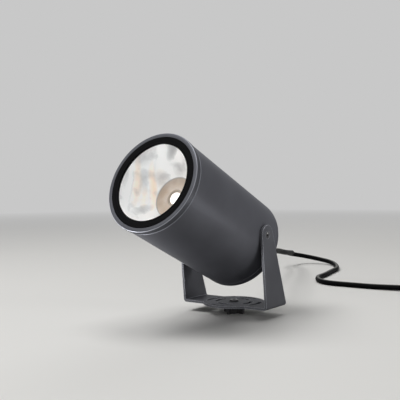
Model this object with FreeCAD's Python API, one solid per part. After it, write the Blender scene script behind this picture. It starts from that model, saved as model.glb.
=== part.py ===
import FreeCAD, Part
import math
import os

# Garden spike spotlight: a round lamp head tilts between the arms of a U bracket,
# and the bracket turns on a spike that is pushed into the ground.
# Millimetres. +Z is up, the lamp looks towards -Y and tilts about X.
# The origin is where the spike's centre line meets the ground.
# Head parts are drawn on a bench axis first: Z runs forward along the lamp,
# Y is the head's own up and X is the tilt axis, with the tilt pivot at zero.

V = FreeCAD.Vector
AXIS_X = V(1, 0, 0)
AXIS_Y = V(0, 1, 0)
AXIS_Z = V(0, 0, 1)
ORIGIN = V(0, 0, 0)

# Named clearances
SEAT_GAP = 0.05
SLIDE_GAP = 0.3

# Where the head sits on the bracket
REST_ELEVATION = 25.0
PIVOT_FORWARD = 17.0
PIVOT_ABOVE_BASE = 74.5

# Housing tube
HOUSING_RADIUS = 49.5
HOUSING_WALL = 3.6
HOUSING_FRONT = 125.25
HOUSING_REAR = -20.0
HOUSING_EDGE = 0.45
JOINT_EDGE = 1.1

# Front bezel
BEZEL_PROUD = 0.5
BEZEL_LENGTH = 6.25
BEZEL_LIP_WIDTH = 4.0
BEZEL_LIP = 1.1
BEZEL_ROUND = 1.1
BEZEL_JOINT_EDGE = 0.8
BEZEL_SLEEVE_LENGTH = 12.0
BEZEL_SLEEVE_WALL = 2.3
BEZEL_WALL = 3.0

# Lens and its black seal
GLASS_THICKNESS = 4.0
GLASS_EDGE = 0.3
SEAL_WALL = 2.6
SEAL_FACE_WIDTH = 8.25
SEAL_REAR_WIDTH = 6.45
SEAL_LIP = 0.9
SEAL_STAND_BACK = 0.15

# Sealing ring between bezel and housing
O_RING_SECTION = 1.9
O_RING_SQUEEZE = 0.15
O_RING_FROM_JOINT = 3.0

# Reflector
REFLECTOR_WALL = 1.0
REFLECTOR_RIM = 3.2
REFLECTOR_FLOOR_RADIUS = 21.0
REFLECTOR_BULGE = 1.1
REFLECTOR_HOLE = 8.6

# Light source on its carrier
SPREADER_THICKNESS = 5.0
SPREADER_FRONT = 88.0
PAD_THICKNESS = 0.3
BOARD_SIDE = 19.0
BOARD_THICKNESS = 1.2
EMITTER_RADIUS = 7.25
EMITTER_HEIGHT = 1.0
HOLDER_RADIUS = 24.0
HOLDER_THICKNESS = 3.0
HOLDER_HOLE = 7.9
HOLDER_SCREW_OFFSET = 17.0
WIRE_HOLE_RADIUS = 4.0
WIRE_HOLE_OFFSET = 30.0

# Inner screws, all with pan heads
M3_RADIUS = 1.5
M3_HEAD_RADIUS = 2.6
M3_HEAD = 1.8
M4_RADIUS = 2.0
M4_HEAD_RADIUS = 3.5
M4_HEAD = 2.4
INNER_BOSS_RADIUS = 5.2
INNER_BOSS_INSET = 4.4
SPREADER_BOSS_LENGTH = 12.0
SPREADER_SCREW_COUNT = 3
SPREADER_SCREW_BITE = 7.0

# Driver compartment
TRAY_THICKNESS = 2.0
TRAY_WIDTH = 52.0
TRAY_DROP = 19.0
TRAY_FOOT = 24.0
TRAY_SCREW_SPACING = 36.0
DRIVER_LENGTH = 58.0
DRIVER_WIDTH = 50.0
DRIVER_HEIGHT = 30.0
DRIVER_REAR = 17.0
DRIVER_EAR = 3.0
TERMINAL_LENGTH = 14.0
TERMINAL_WIDTH = 30.0
TERMINAL_HEIGHT = 15.0
TERMINAL_REAR = 2.0
WIRE_RADIUS = 1.1
WIRE_STUB = 3.0
CORE_CIRCLE = 1.9

# Rear cap
CAP_LENGTH = 10.0
CAP_ROUND = 4.0
CAP_WALL = 4.0
CAP_SPIGOT_LENGTH = 8.0
CAP_SPIGOT_WALL = 3.0
CAP_SCREW_COUNT = 4
CAP_HEAD_RECESS = 3.2
CAP_SCREW_BITE = 9.0
CAP_BOSS_LENGTH = 13.0
CAP_SOCKET_RADIUS = 1.6

# Cable gland, boot and cable
CABLE_RADIUS = 3.5
GLAND_THREAD_RADIUS = 8.0
GLAND_THREAD_LENGTH = 8.5
GLAND_FLATS = 20.0
GLAND_FLANGE = 4.0
GLAND_NUT_LENGTH = 12.5
GLAND_NUT_HEX = 6.5
GLAND_NUT_MOUTH = 5.4
LOCKNUT_FLATS = 20.0
LOCKNUT_LENGTH = 3.5
GLAND_WASHER = 1.0
GLAND_WASHER_RADIUS = 9.6
BOOT_LENGTH = 24.0
BOOT_REACH = 10.5
BOOT_ROOT_RADIUS = 5.0
BOOT_TIP_RADIUS = 4.2
CABLE_TAIL_INSIDE = 18.0

# Tilt pivot
PIVOT_PAD_RADIUS = 6.8
PIVOT_PAD_PROUD = 0.1
PIVOT_BOSS_RADIUS = 9.0
PIVOT_BOSS_LENGTH = 8.0
PIVOT_SCREW_RADIUS = 2.0
PIVOT_SCREW_LENGTH = 11.0
PIVOT_HEAD_RADIUS = 3.7
PIVOT_HEAD_DEPTH = 2.0
PIVOT_FIT = 0.06
FRICTION_WASHER = 0.4
FRICTION_WASHER_RADIUS = 6.2
SOCKET_ACROSS = 2.5
SOCKET_DEPTH = 1.3

# Bracket, folded from one sheet
SHEET = 2.5
BASE_ABOVE_GROUND = 10.0
BASE_WIDTH = 40.0
ARM_TOP_RADIUS = 10.2
FOLD_OUTER_RADIUS = 3.4
DISC_RADIUS = 33.0
OUTER_SLOT_CIRCLE = 28.4
INNER_SLOT_CIRCLE = 18.6
SLOT_WIDTH = 4.5
OUTER_SLOT_ANGLE = 38.0
INNER_SLOT_ANGLE = 44.0
SLOT_COUNT = 4

# Swivel bolt and its washers
BOLT_RADIUS = 3.0
BOLT_FIT = 0.08
BOLT_HEAD_RADIUS = 4.8
BOLT_HEAD = 1.5
BOLT_HEAD_ROUND = 0.7
BOLT_LENGTH = 25.0
BOLT_SOCKET = 4.0
BOLT_SOCKET_DEPTH = 1.0
WASHER_RADIUS = 5.6
WASHER_THICKNESS = 0.5
SWIVEL_DISC_RADIUS = 9.5
SWIVEL_DISC = 0.5

# Spike
SPIKE_LENGTH = 170.0
SPIKE_STRAIGHT = 75.0
SPIKE_WIDTH = 25.0
SPIKE_BLADE = 3.2
SPIKE_CORE_RADIUS = 6.6
SPIKE_CORE_LENGTH = 32.0
SPIKE_POINT = 1.6
INSERT_RADIUS = 4.6
INSERT_LENGTH = 16.0

# Loose cable: corner points of its route, first through the air to the ground,
# then along the ground to the coil
LEAD_ROUTE = [(-6, 82, 55), (-19, 120, 54), (-43, 167, 50), (-65, 227, 41), (-88, 283, 34),
              (-112, 337, 28), (-144, 373, 22), (-144, 416, 15), (-123, 435, 9), (-94, 432, 5),
              (-73, 408)]
RUN_ROUTE = [(-53, 369), (-48, 338), (-39, 300), (-36, 264), (-10, 229), (29, 229), (65, 230)]
FIRST_RUN = 18.0
COIL_APPROACH = 28.0
COIL_START = (140.0, 240.0)
COIL_HEADING = 4.0
COIL_OUTER_RADIUS = 46.0
COIL_TURNS_IN = 2.25
COIL_CLIMB = 0.5
COIL_STEP = 7.7
COIL_LAYER = 7.6
COIL_END_STRAIGHT = 7.0
TIE_WIDTH = 12.0
TIE_TURN = 0.5
TIE_THICKNESS = 1.0
TIE_GAP = 1.0

# Mains plug on the far end
PLUG_BODY_RADIUS = 19.0
PLUG_BODY_LENGTH = 26.0
PLUG_GRIP_LENGTH = 34.0
PLUG_GRIP_RADIUS = 8.0
PLUG_NECK_RADIUS = 5.0
PLUG_TAPER_LENGTH = 20.4
PLUG_SHOULDER_RADIUS = 12.0
PLUG_SHOULDER_LENGTH = 28.9
PLUG_REAR_ROUND = 2.0
PLUG_FACE_EDGE = 1.0
PLUG_PIN_RADIUS = 2.4
PLUG_PIN_LENGTH = 19.0
PLUG_PIN_ROUND = 1.5
PLUG_PIN_SPACING = 19.0
PLUG_DISTANCE = 63.0

# Worked out from the sizes above
BASE_TOP = BASE_ABOVE_GROUND + SHEET
PIVOT_Z = BASE_TOP + PIVOT_ABOVE_BASE
PIVOT_Y = -PIVOT_FORWARD
HOUSING_BORE = HOUSING_RADIUS - HOUSING_WALL
INNER_BOSS_CIRCLE = HOUSING_BORE - INNER_BOSS_INSET
BEZEL_RADIUS = HOUSING_RADIUS + BEZEL_PROUD
BEZEL_LIP_RADIUS = BEZEL_RADIUS - BEZEL_LIP_WIDTH
BEZEL_FRONT = HOUSING_FRONT + BEZEL_LENGTH
BEZEL_POCKET_RADIUS = BEZEL_RADIUS - BEZEL_WALL
SLEEVE_RADIUS = BEZEL_POCKET_RADIUS
SLEEVE_BORE = SLEEVE_RADIUS - BEZEL_SLEEVE_WALL
SEAL_FRONT = BEZEL_FRONT - SEAL_STAND_BACK
SEAL_BEAD_FRONT = BEZEL_FRONT - BEZEL_LIP
SEAL_RADIUS = BEZEL_POCKET_RADIUS - SEAT_GAP
SEAL_OPENING = SEAL_RADIUS - SEAL_FACE_WIDTH
SEAL_REAR_OPENING = SEAL_RADIUS - SEAL_REAR_WIDTH
REFLECTOR_RADIUS = SLEEVE_BORE - SLIDE_GAP
REFLECTOR_MOUTH = REFLECTOR_RADIUS - REFLECTOR_RIM
GLASS_RADIUS = SEAL_RADIUS - SEAL_WALL
GLASS_FRONT = SEAL_FRONT - SEAL_LIP
GLASS_REAR = GLASS_FRONT - GLASS_THICKNESS
SEAL_REAR = GLASS_REAR - SEAL_LIP
SPREADER_REAR = SPREADER_FRONT - SPREADER_THICKNESS
HOLDER_FRONT = SPREADER_FRONT + HOLDER_THICKNESS
BOARD_REAR = SPREADER_FRONT + PAD_THICKNESS
BOARD_FRONT = BOARD_REAR + BOARD_THICKNESS
CAP_REAR = HOUSING_REAR - CAP_LENGTH
CAP_FLOOR = CAP_REAR + CAP_WALL
SPIGOT_FRONT = HOUSING_REAR + CAP_SPIGOT_LENGTH
SPIGOT_RADIUS = HOUSING_BORE - SEAT_GAP
TRAY_REAR = SPIGOT_FRONT + CAP_BOSS_LENGTH + SLIDE_GAP
FLANGE_REAR = CAP_REAR - GLAND_WASHER - GLAND_FLANGE
NUT_REAR = FLANGE_REAR - GLAND_NUT_LENGTH
BOOT_REAR = NUT_REAR - BOOT_REACH
BOOT_FRONT = BOOT_REAR + BOOT_LENGTH
PAD_FACE = HOUSING_RADIUS + PIVOT_PAD_PROUD
ARM_INNER = PAD_FACE + FRICTION_WASHER
ARM_OUTER = ARM_INNER + SHEET
SPIKE_TOP = BASE_ABOVE_GROUND - SWIVEL_DISC
CABLE_ON_GROUND = CABLE_RADIUS
COIL_ON_GROUND = CABLE_RADIUS + TIE_THICKNESS + SEAT_GAP


def cylinder(radius, low, high, x=0.0, y=0.0):
    """Upright cylinder between two heights."""
    return Part.makeCylinder(radius, high - low, V(x, y, low))


def ring(outer, inner, low, high, x=0.0, y=0.0):
    """Upright tube between two heights."""
    return cylinder(outer, low, high, x, y).cut(cylinder(inner, low, high, x, y))


def box(x0, x1, y0, y1, z0, z1):
    """Box between two corners."""
    return Part.makeBox(x1 - x0, y1 - y0, z1 - z0, V(x0, y0, z0))


def turned(edges):
    """Solid turned about Z from edges drawn in the XZ plane."""
    return Part.Face(Part.Wire(edges)).revolve(ORIGIN, AXIS_Z, 360)


def turned_points(points):
    """Solid turned about Z from corner points given as radius and height."""
    corners = [V(radius, 0, height) for radius, height in points]
    return Part.Face(Part.makePolygon(corners + corners[:1])).revolve(ORIGIN, AXIS_Z, 360)


def hexagon(flats, low, high):
    """Upright hexagonal bar, measured across its flats."""
    corner = flats / math.sqrt(3)
    points = [V(corner * math.cos(math.radians(60 * k)), corner * math.sin(math.radians(60 * k)), low)
              for k in range(7)]
    return Part.Face(Part.makePolygon(points)).extrude(V(0, 0, high - low))


def around(count, radius, first=0.0):
    """Points evenly spaced on a circle, as x and y."""
    angles = [math.radians(first + 360.0 * k / count) for k in range(count)]
    return [(radius * math.cos(angle), radius * math.sin(angle)) for angle in angles]


def joined(shapes):
    """One solid made of overlapping ones."""
    whole = shapes[0]
    for shape in shapes[1:]:
        whole = whole.fuse(shape)
    return whole.removeSplitter()


def without(shape, cutters):
    """The shape less every cutter."""
    for cutter in cutters:
        shape = shape.cut(cutter)
    return shape


def round_edges(shape, radius, chosen):
    """Round those edges whose middle point the test picks."""
    edges = [edge for edge in shape.Edges if chosen(edge.valueAt(
        (edge.FirstParameter + edge.LastParameter) / 2), edge)]
    return shape.makeFillet(radius, edges)


def along_x(shape):
    """Turn an upright part so that its top points to +X."""
    turned_part = shape.copy()
    turned_part.rotate(ORIGIN, AXIS_Y, 90)
    return turned_part


def mirrored(shape):
    """The same part on the other side of the YZ plane."""
    return shape.mirror(ORIGIN, AXIS_X)


def on_head(shape):
    """Move a part from the bench axis to the head at its rest elevation."""
    placed = shape.copy()
    placed.rotate(ORIGIN, AXIS_X, 90 - REST_ELEVATION)
    placed.translate(V(0, PIVOT_Y, PIVOT_Z))
    return placed


def head_point(x, up, forward):
    """A bench point moved to the head at its rest elevation."""
    lift = math.radians(REST_ELEVATION)
    return V(x, PIVOT_Y - forward * math.cos(lift) + up * math.sin(lift),
             PIVOT_Z + forward * math.sin(lift) + up * math.cos(lift))


def save(name, shape):
    """Write one node."""
    shape.exportStep("parts/" + name + ".step")


def housing():
    """Cast tube with its inner bosses and the pads that the arms bear on."""
    tube = turned_points([
        (HOUSING_BORE, HOUSING_REAR), (HOUSING_RADIUS - HOUSING_EDGE, HOUSING_REAR),
        (HOUSING_RADIUS, HOUSING_REAR + HOUSING_EDGE), (HOUSING_RADIUS, HOUSING_FRONT - JOINT_EDGE),
        (HOUSING_RADIUS - JOINT_EDGE, HOUSING_FRONT), (HOUSING_BORE, HOUSING_FRONT)])
    solids = [tube]
    wall_middle = HOUSING_RADIUS - HOUSING_WALL / 2
    for x, y in around(SPREADER_SCREW_COUNT, INNER_BOSS_CIRCLE, 90):
        boss = cylinder(INNER_BOSS_RADIUS, SPREADER_REAR - SPREADER_BOSS_LENGTH, SPREADER_REAR, x, y)
        solids.append(boss)
    for x, y in around(CAP_SCREW_COUNT, INNER_BOSS_CIRCLE, 45):
        solids.append(cylinder(INNER_BOSS_RADIUS, SPIGOT_FRONT + SEAT_GAP,
                               SPIGOT_FRONT + SEAT_GAP + CAP_BOSS_LENGTH, x, y))
    inner_boss = along_x(cylinder(PIVOT_BOSS_RADIUS, HOUSING_BORE - PIVOT_BOSS_LENGTH, wall_middle))
    pad = along_x(cylinder(PIVOT_PAD_RADIUS, wall_middle, PAD_FACE))
    solids += [inner_boss, pad, mirrored(inner_boss), mirrored(pad)]
    body = joined(solids)
    inside = cylinder(HOUSING_RADIUS - HOUSING_WALL / 2, HOUSING_REAR, HOUSING_FRONT)
    outside = cylinder(HOUSING_RADIUS + 2 * PIVOT_PAD_PROUD, HOUSING_REAR, HOUSING_FRONT)
    pads = joined([pad, mirrored(pad)]).cut(inside).common(outside)
    body = joined([body.common(cylinder(HOUSING_RADIUS, HOUSING_REAR, HOUSING_FRONT)), pads])
    sleeve_rear = HOUSING_FRONT - BEZEL_SLEEVE_LENGTH - SLIDE_GAP
    cutters = [cylinder(SLEEVE_RADIUS + SEAT_GAP, sleeve_rear, HOUSING_FRONT)]
    for x, y in around(SPREADER_SCREW_COUNT, INNER_BOSS_CIRCLE, 90):
        cutters.append(cylinder(M4_RADIUS, SPREADER_REAR - SPREADER_SCREW_BITE - SLIDE_GAP,
                                SPREADER_REAR, x, y))
    for x, y in around(CAP_SCREW_COUNT, INNER_BOSS_CIRCLE, 45):
        cutters.append(cylinder(M4_RADIUS, SPIGOT_FRONT,
                                SPIGOT_FRONT + CAP_SCREW_BITE + SLIDE_GAP, x, y))
    screw_end = ARM_OUTER - PIVOT_SCREW_LENGTH - SLIDE_GAP
    screw_hole = along_x(cylinder(PIVOT_SCREW_RADIUS, screw_end, PAD_FACE))
    cutters += [screw_hole, mirrored(screw_hole)]
    return without(body, cutters)


def front_bezel():
    """Screw-on front ring with its lip, lens pocket and threaded sleeve."""
    back = HOUSING_FRONT
    front = BEZEL_FRONT
    half = math.sqrt(0.5)
    centre = (BEZEL_RADIUS - BEZEL_ROUND, front - BEZEL_ROUND)
    arc = Part.Arc(V(BEZEL_RADIUS, 0, centre[1]),
                   V(centre[0] + BEZEL_ROUND * half, 0, centre[1] + BEZEL_ROUND * half),
                   V(centre[0], 0, front)).toShape()
    groove_front = HOUSING_FRONT - O_RING_FROM_JOINT
    groove_rear = groove_front - O_RING_SECTION - SEAT_GAP
    groove_radius = SLEEVE_RADIUS + SEAT_GAP - O_RING_SECTION + O_RING_SQUEEZE
    sleeve_rear = HOUSING_FRONT - BEZEL_SLEEVE_LENGTH
    corners = [(centre[0], front), (BEZEL_LIP_RADIUS, front), (BEZEL_LIP_RADIUS, front - BEZEL_LIP),
               (BEZEL_POCKET_RADIUS, front - BEZEL_LIP), (BEZEL_POCKET_RADIUS, SEAL_REAR),
               (SLEEVE_BORE, SEAL_REAR), (SLEEVE_BORE, sleeve_rear), (SLEEVE_RADIUS, sleeve_rear),
               (SLEEVE_RADIUS, groove_rear), (groove_radius, groove_rear),
               (groove_radius, groove_front), (SLEEVE_RADIUS, groove_front), (SLEEVE_RADIUS, back),
               (BEZEL_RADIUS - BEZEL_JOINT_EDGE, back), (BEZEL_RADIUS, back + BEZEL_JOINT_EDGE),
               (BEZEL_RADIUS, centre[1])]
    lines = [Part.LineSegment(V(a[0], 0, a[1]), V(b[0], 0, b[1])).toShape()
             for a, b in zip(corners, corners[1:])]
    return turned(lines + [arc])


def bezel_o_ring():
    """Sealing ring in the groove of the bezel's sleeve."""
    outer = SLEEVE_RADIUS + SEAT_GAP
    inner = outer - O_RING_SECTION + O_RING_SQUEEZE
    high = HOUSING_FRONT - O_RING_FROM_JOINT - SEAT_GAP / 2
    corner = O_RING_SECTION / 4
    low = high - O_RING_SECTION
    return turned_points([(inner, low + corner), (inner + corner, low), (outer - corner, low),
                          (outer, low + corner), (outer, high - corner), (outer - corner, high),
                          (inner + corner, high), (inner, high - corner)])


def lens_seal():
    """Black rubber ring that wraps the edge of the glass and shows in front."""
    shown = BEZEL_LIP_RADIUS - SEAT_GAP
    return turned_points([
        (SEAL_OPENING, GLASS_FRONT), (SEAL_OPENING, SEAL_FRONT - SEAL_STAND_BACK),
        (SEAL_OPENING + SEAL_STAND_BACK, SEAL_FRONT), (shown, SEAL_FRONT),
        (shown, SEAL_BEAD_FRONT - SEAT_GAP), (SEAL_RADIUS, SEAL_BEAD_FRONT - SEAT_GAP),
        (SEAL_RADIUS, SEAL_REAR), (SEAL_REAR_OPENING, SEAL_REAR), (SEAL_REAR_OPENING, GLASS_REAR),
        (GLASS_RADIUS, GLASS_REAR), (GLASS_RADIUS, GLASS_FRONT)])


def lens_glass():
    """Toughened glass disc with ground edges."""
    return turned_points([
        (0, GLASS_REAR), (GLASS_RADIUS - GLASS_EDGE, GLASS_REAR),
        (GLASS_RADIUS, GLASS_REAR + GLASS_EDGE), (GLASS_RADIUS, GLASS_FRONT - GLASS_EDGE),
        (GLASS_RADIUS - GLASS_EDGE, GLASS_FRONT), (0, GLASS_FRONT)])


def reflector():
    """Spun bowl with a flat floor round the light source and a rim under the seal."""
    floor = HOLDER_FRONT
    rim = SEAL_REAR
    middle_height = (floor + REFLECTOR_WALL + rim) / 2
    middle_radius = (REFLECTOR_FLOOR_RADIUS + REFLECTOR_MOUTH) / 2 + REFLECTOR_BULGE
    wall = REFLECTOR_WALL
    inner = Part.Arc(V(REFLECTOR_FLOOR_RADIUS, 0, floor + wall), V(middle_radius, 0, middle_height),
                     V(REFLECTOR_MOUTH, 0, rim)).toShape()
    outer = Part.Arc(V(REFLECTOR_FLOOR_RADIUS + wall, 0, floor),
                     V(middle_radius + wall, 0, middle_height - wall / 2),
                     V(REFLECTOR_MOUTH + wall, 0, rim - wall)).toShape()
    corners = [(REFLECTOR_MOUTH, rim), (REFLECTOR_RADIUS, rim), (REFLECTOR_RADIUS, rim - wall),
               (REFLECTOR_MOUTH + wall, rim - wall)]
    foot = [(REFLECTOR_FLOOR_RADIUS + wall, floor), (REFLECTOR_HOLE, floor),
            (REFLECTOR_HOLE, floor + wall), (REFLECTOR_FLOOR_RADIUS, floor + wall)]
    lines = [Part.LineSegment(V(a[0], 0, a[1]), V(b[0], 0, b[1])).toShape()
             for a, b in list(zip(corners, corners[1:])) + list(zip(foot, foot[1:]))]
    return turned([inner] + lines[:3] + [outer] + lines[3:])


def led_holder():
    """White plastic ring that clamps the light source to the spreader."""
    body = ring(HOLDER_RADIUS, HOLDER_HOLE, SPREADER_FRONT, HOLDER_FRONT)
    side = BOARD_SIDE / 2 + SLIDE_GAP
    cutters = [box(-side, side, -side, side, SPREADER_FRONT, BOARD_FRONT + SEAT_GAP)]
    for x in (-HOLDER_SCREW_OFFSET, HOLDER_SCREW_OFFSET):
        head_seat = HOLDER_FRONT - M3_HEAD - SLIDE_GAP
        cutters.append(cylinder(M3_HEAD_RADIUS + SLIDE_GAP, head_seat, HOLDER_FRONT, x))
        cutters.append(cylinder(M3_RADIUS + SEAT_GAP, SPREADER_FRONT, HOLDER_FRONT, x))
    return without(body, cutters)


def holder_screws():
    """Two screws that hold the ring and the light source down."""
    seat = HOLDER_FRONT - M3_HEAD - SLIDE_GAP
    return [joined([cylinder(M3_HEAD_RADIUS, seat, seat + M3_HEAD, x),
                    cylinder(M3_RADIUS, SPREADER_REAR + 1.0, seat, x)])
            for x in (-HOLDER_SCREW_OFFSET, HOLDER_SCREW_OFFSET)]


def thermal_pad():
    """Soft heat pad under the light source."""
    half = BOARD_SIDE / 2
    return box(-half, half, -half, half, SPREADER_FRONT, BOARD_REAR)


def led_board():
    """Ceramic carrier of the light source."""
    half = BOARD_SIDE / 2
    return box(-half, half, -half, half, BOARD_REAR, BOARD_FRONT)


def led_emitter():
    """Round phosphor window of the light source."""
    return cylinder(EMITTER_RADIUS, BOARD_FRONT, BOARD_FRONT + EMITTER_HEIGHT)


def heat_spreader():
    """Aluminium plate that carries the light source and bears on the bosses."""
    plate = cylinder(HOUSING_BORE - SEAT_GAP, SPREADER_REAR, SPREADER_FRONT)
    cutters = [cylinder(WIRE_HOLE_RADIUS, SPREADER_REAR, SPREADER_FRONT, 0, WIRE_HOLE_OFFSET)]
    for x, y in around(SPREADER_SCREW_COUNT, INNER_BOSS_CIRCLE, 90):
        cutters.append(cylinder(M4_RADIUS + SEAT_GAP, SPREADER_REAR, SPREADER_FRONT, x, y))
    for x in (-HOLDER_SCREW_OFFSET, HOLDER_SCREW_OFFSET):
        cutters.append(cylinder(M3_RADIUS, SPREADER_REAR, SPREADER_FRONT, x))
    return without(plate, cutters)


def pan_screw(radius, head_radius, head, seat, end, x, y):
    """Screw whose head lies on the seat and whose shank runs down to its end."""
    return joined([cylinder(head_radius, seat, seat + head, x, y), cylinder(radius, end, seat, x, y)])


def spreader_screws():
    """Screws that pull the spreader onto the housing's bosses."""
    end = SPREADER_REAR - SPREADER_SCREW_BITE
    return [pan_screw(M4_RADIUS, M4_HEAD_RADIUS, M4_HEAD, SPREADER_FRONT, end, x, y)
            for x, y in around(SPREADER_SCREW_COUNT, INNER_BOSS_CIRCLE, 90)]


def driver_tray():
    """Folded plate behind the spreader that carries driver and terminals."""
    half = TRAY_WIDTH / 2
    floor = box(-half, half, -TRAY_DROP - TRAY_THICKNESS, -TRAY_DROP, TRAY_REAR, SPREADER_REAR)
    foot = box(-half, half, -TRAY_DROP, -TRAY_DROP + TRAY_FOOT, SPREADER_REAR - TRAY_THICKNESS,
               SPREADER_REAR)
    cutters = [cylinder(M3_RADIUS + SEAT_GAP, SPREADER_REAR - TRAY_THICKNESS, SPREADER_REAR,
                        side * TRAY_SCREW_SPACING / 2, -TRAY_DROP + TRAY_FOOT / 2)
               for side in (-1, 1)]
    return without(joined([floor, foot]), cutters)


def tray_screws():
    """Screws through the tray's foot into the spreader."""
    seat = SPREADER_REAR - TRAY_THICKNESS
    screws = []
    for side in (-1, 1):
        x = side * TRAY_SCREW_SPACING / 2
        y = -TRAY_DROP + TRAY_FOOT / 2
        screws.append(joined([cylinder(M3_HEAD_RADIUS, seat - M3_HEAD, seat, x, y),
                              cylinder(M3_RADIUS, seat, SPREADER_REAR, x, y)]))
    return screws


def driver():
    """Potted constant-current driver with two fixing ears."""
    half = DRIVER_WIDTH / 2
    low = -TRAY_DROP
    case = box(-half, half, low, low + DRIVER_HEIGHT, DRIVER_REAR, DRIVER_REAR + DRIVER_LENGTH)
    return round_edges(case, DRIVER_EAR, lambda middle, edge: abs(abs(middle.x) - half) < 0.01
                       and middle.y > low + 1 and edge.Length > DRIVER_LENGTH - 1)


def terminal_block():
    """Three-pole terminal block on the tray."""
    half = TERMINAL_WIDTH / 2
    low = -TRAY_DROP
    block = box(-half, half, low, low + TERMINAL_HEIGHT, TERMINAL_REAR, TERMINAL_REAR + TERMINAL_LENGTH)
    pitch = TERMINAL_WIDTH / 3
    cutters = []
    for k in (-1, 0, 1):
        screw_hole = Part.makeCylinder(pitch / 4, TERMINAL_HEIGHT / 3,
                                       V(k * pitch, low + TERMINAL_HEIGHT * 2 / 3,
                                         TERMINAL_REAR + TERMINAL_LENGTH / 2), AXIS_Y)
        cutters.append(screw_hole)
    return without(block, cutters)


def bent_wire(points, radius):
    """Round wire along straight runs with tangent arcs at the corners."""
    wire = rounded_path([V(*point) for point in points])[0]
    profile = Part.Wire(Part.Circle(wire.Edges[0].valueAt(wire.Edges[0].FirstParameter),
                                    first_direction(wire), radius).toShape())
    return wire.makePipeShell([profile], True, False)


def first_direction(wire):
    """Direction in which a path starts."""
    edge = wire.Edges[0]
    return edge.tangentAt(edge.FirstParameter)


def rounded_path(points):
    """Wire of straight runs and tangent arcs, with the radius of each arc.

    Each arc takes 0.45 of the shorter of its two runs, so it is as large as they allow.
    """
    edges = []
    radii = []
    start = points[0]
    for before, corner, after in zip(points, points[1:], points[2:]):
        into = (corner - before).normalize()
        out = (after - corner).normalize()
        reach = 0.45 * min(before.distanceToPoint(corner), corner.distanceToPoint(after))
        half_turn = into.getAngle(out) / 2
        radius = reach / math.tan(half_turn)
        enter = corner - into * reach
        leave = corner + out * reach
        inward = (out - into).normalize()
        middle = corner + inward * (radius / math.cos(half_turn) - radius)
        edges.append(Part.LineSegment(start, enter).toShape())
        edges.append(Part.Arc(enter, middle, leave).toShape())
        radii.append(radius)
        start = leave
    edges.append(Part.LineSegment(start, points[-1]).toShape())
    return Part.Wire(edges), radii


def led_wires():
    """Two wires from the driver over the tray's foot and through the spreader."""
    wires = []
    front = DRIVER_REAR + DRIVER_LENGTH
    top = -TRAY_DROP + DRIVER_HEIGHT - WIRE_STUB
    level = SPREADER_FRONT + WIRE_RADIUS + SEAT_GAP
    for side in (-1, 1):
        x = side * (WIRE_RADIUS + SLIDE_GAP)
        wires.append(bent_wire([(x, top, front), (x, top, front + WIRE_STUB),
                                (x, WIRE_HOLE_OFFSET, SPREADER_REAR - WIRE_STUB),
                                (x, WIRE_HOLE_OFFSET, level),
                                (x, HOLDER_RADIUS + SEAT_GAP, level)], WIRE_RADIUS))
    return wires


def rear_cap():
    """Cast end cap with its spigot, screw pillars and the gland's hole."""
    half = math.sqrt(0.5)
    centre = (HOUSING_RADIUS - CAP_ROUND, CAP_REAR + CAP_ROUND)
    arc = Part.Arc(V(centre[0], 0, CAP_REAR),
                   V(centre[0] + CAP_ROUND * half, 0, centre[1] - CAP_ROUND * half),
                   V(HOUSING_RADIUS, 0, centre[1])).toShape()
    cavity = SPIGOT_RADIUS - CAP_SPIGOT_WALL
    corners = [(HOUSING_RADIUS, centre[1]), (HOUSING_RADIUS, HOUSING_REAR - HOUSING_EDGE),
               (HOUSING_RADIUS - HOUSING_EDGE, HOUSING_REAR), (SPIGOT_RADIUS, HOUSING_REAR),
               (SPIGOT_RADIUS, SPIGOT_FRONT), (cavity, SPIGOT_FRONT), (cavity, CAP_FLOOR),
               (0, CAP_FLOOR), (0, CAP_REAR), (centre[0], CAP_REAR)]
    lines = [Part.LineSegment(V(a[0], 0, a[1]), V(b[0], 0, b[1])).toShape()
             for a, b in zip(corners, corners[1:])]
    shell = turned([arc] + lines)
    pillars = [cylinder(INNER_BOSS_RADIUS, CAP_FLOOR - 1, SPIGOT_FRONT, x, y)
               for x, y in around(CAP_SCREW_COUNT, INNER_BOSS_CIRCLE, 45)]
    body = joined([shell] + [pillar.common(cylinder(SPIGOT_RADIUS, CAP_REAR, SPIGOT_FRONT))
                             for pillar in pillars])
    cutters = [cylinder(GLAND_THREAD_RADIUS, CAP_REAR, CAP_FLOOR)]
    for x, y in around(CAP_SCREW_COUNT, INNER_BOSS_CIRCLE, 45):
        cutters.append(cylinder(M4_RADIUS + SEAT_GAP, CAP_REAR, SPIGOT_FRONT, x, y))
        cutters.append(cylinder(M4_HEAD_RADIUS + SLIDE_GAP, CAP_REAR, CAP_REAR + CAP_HEAD_RECESS, x, y))
    groove_front = SPIGOT_FRONT - O_RING_FROM_JOINT
    cutters.append(ring(SPIGOT_RADIUS + 1, SPIGOT_RADIUS + SEAT_GAP - O_RING_SECTION + O_RING_SQUEEZE,
                        groove_front - O_RING_SECTION - SEAT_GAP, groove_front))
    return without(body, cutters)


def cap_o_ring():
    """Sealing ring in the groove of the cap's spigot."""
    outer = HOUSING_BORE
    inner = outer - O_RING_SECTION + O_RING_SQUEEZE
    high = SPIGOT_FRONT - O_RING_FROM_JOINT - SEAT_GAP / 2
    low = high - O_RING_SECTION
    corner = O_RING_SECTION / 4
    return turned_points([(inner, low + corner), (inner + corner, low), (outer - corner, low),
                          (outer, low + corner), (outer, high - corner), (outer - corner, high),
                          (inner + corner, high), (inner, high - corner)])


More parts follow.
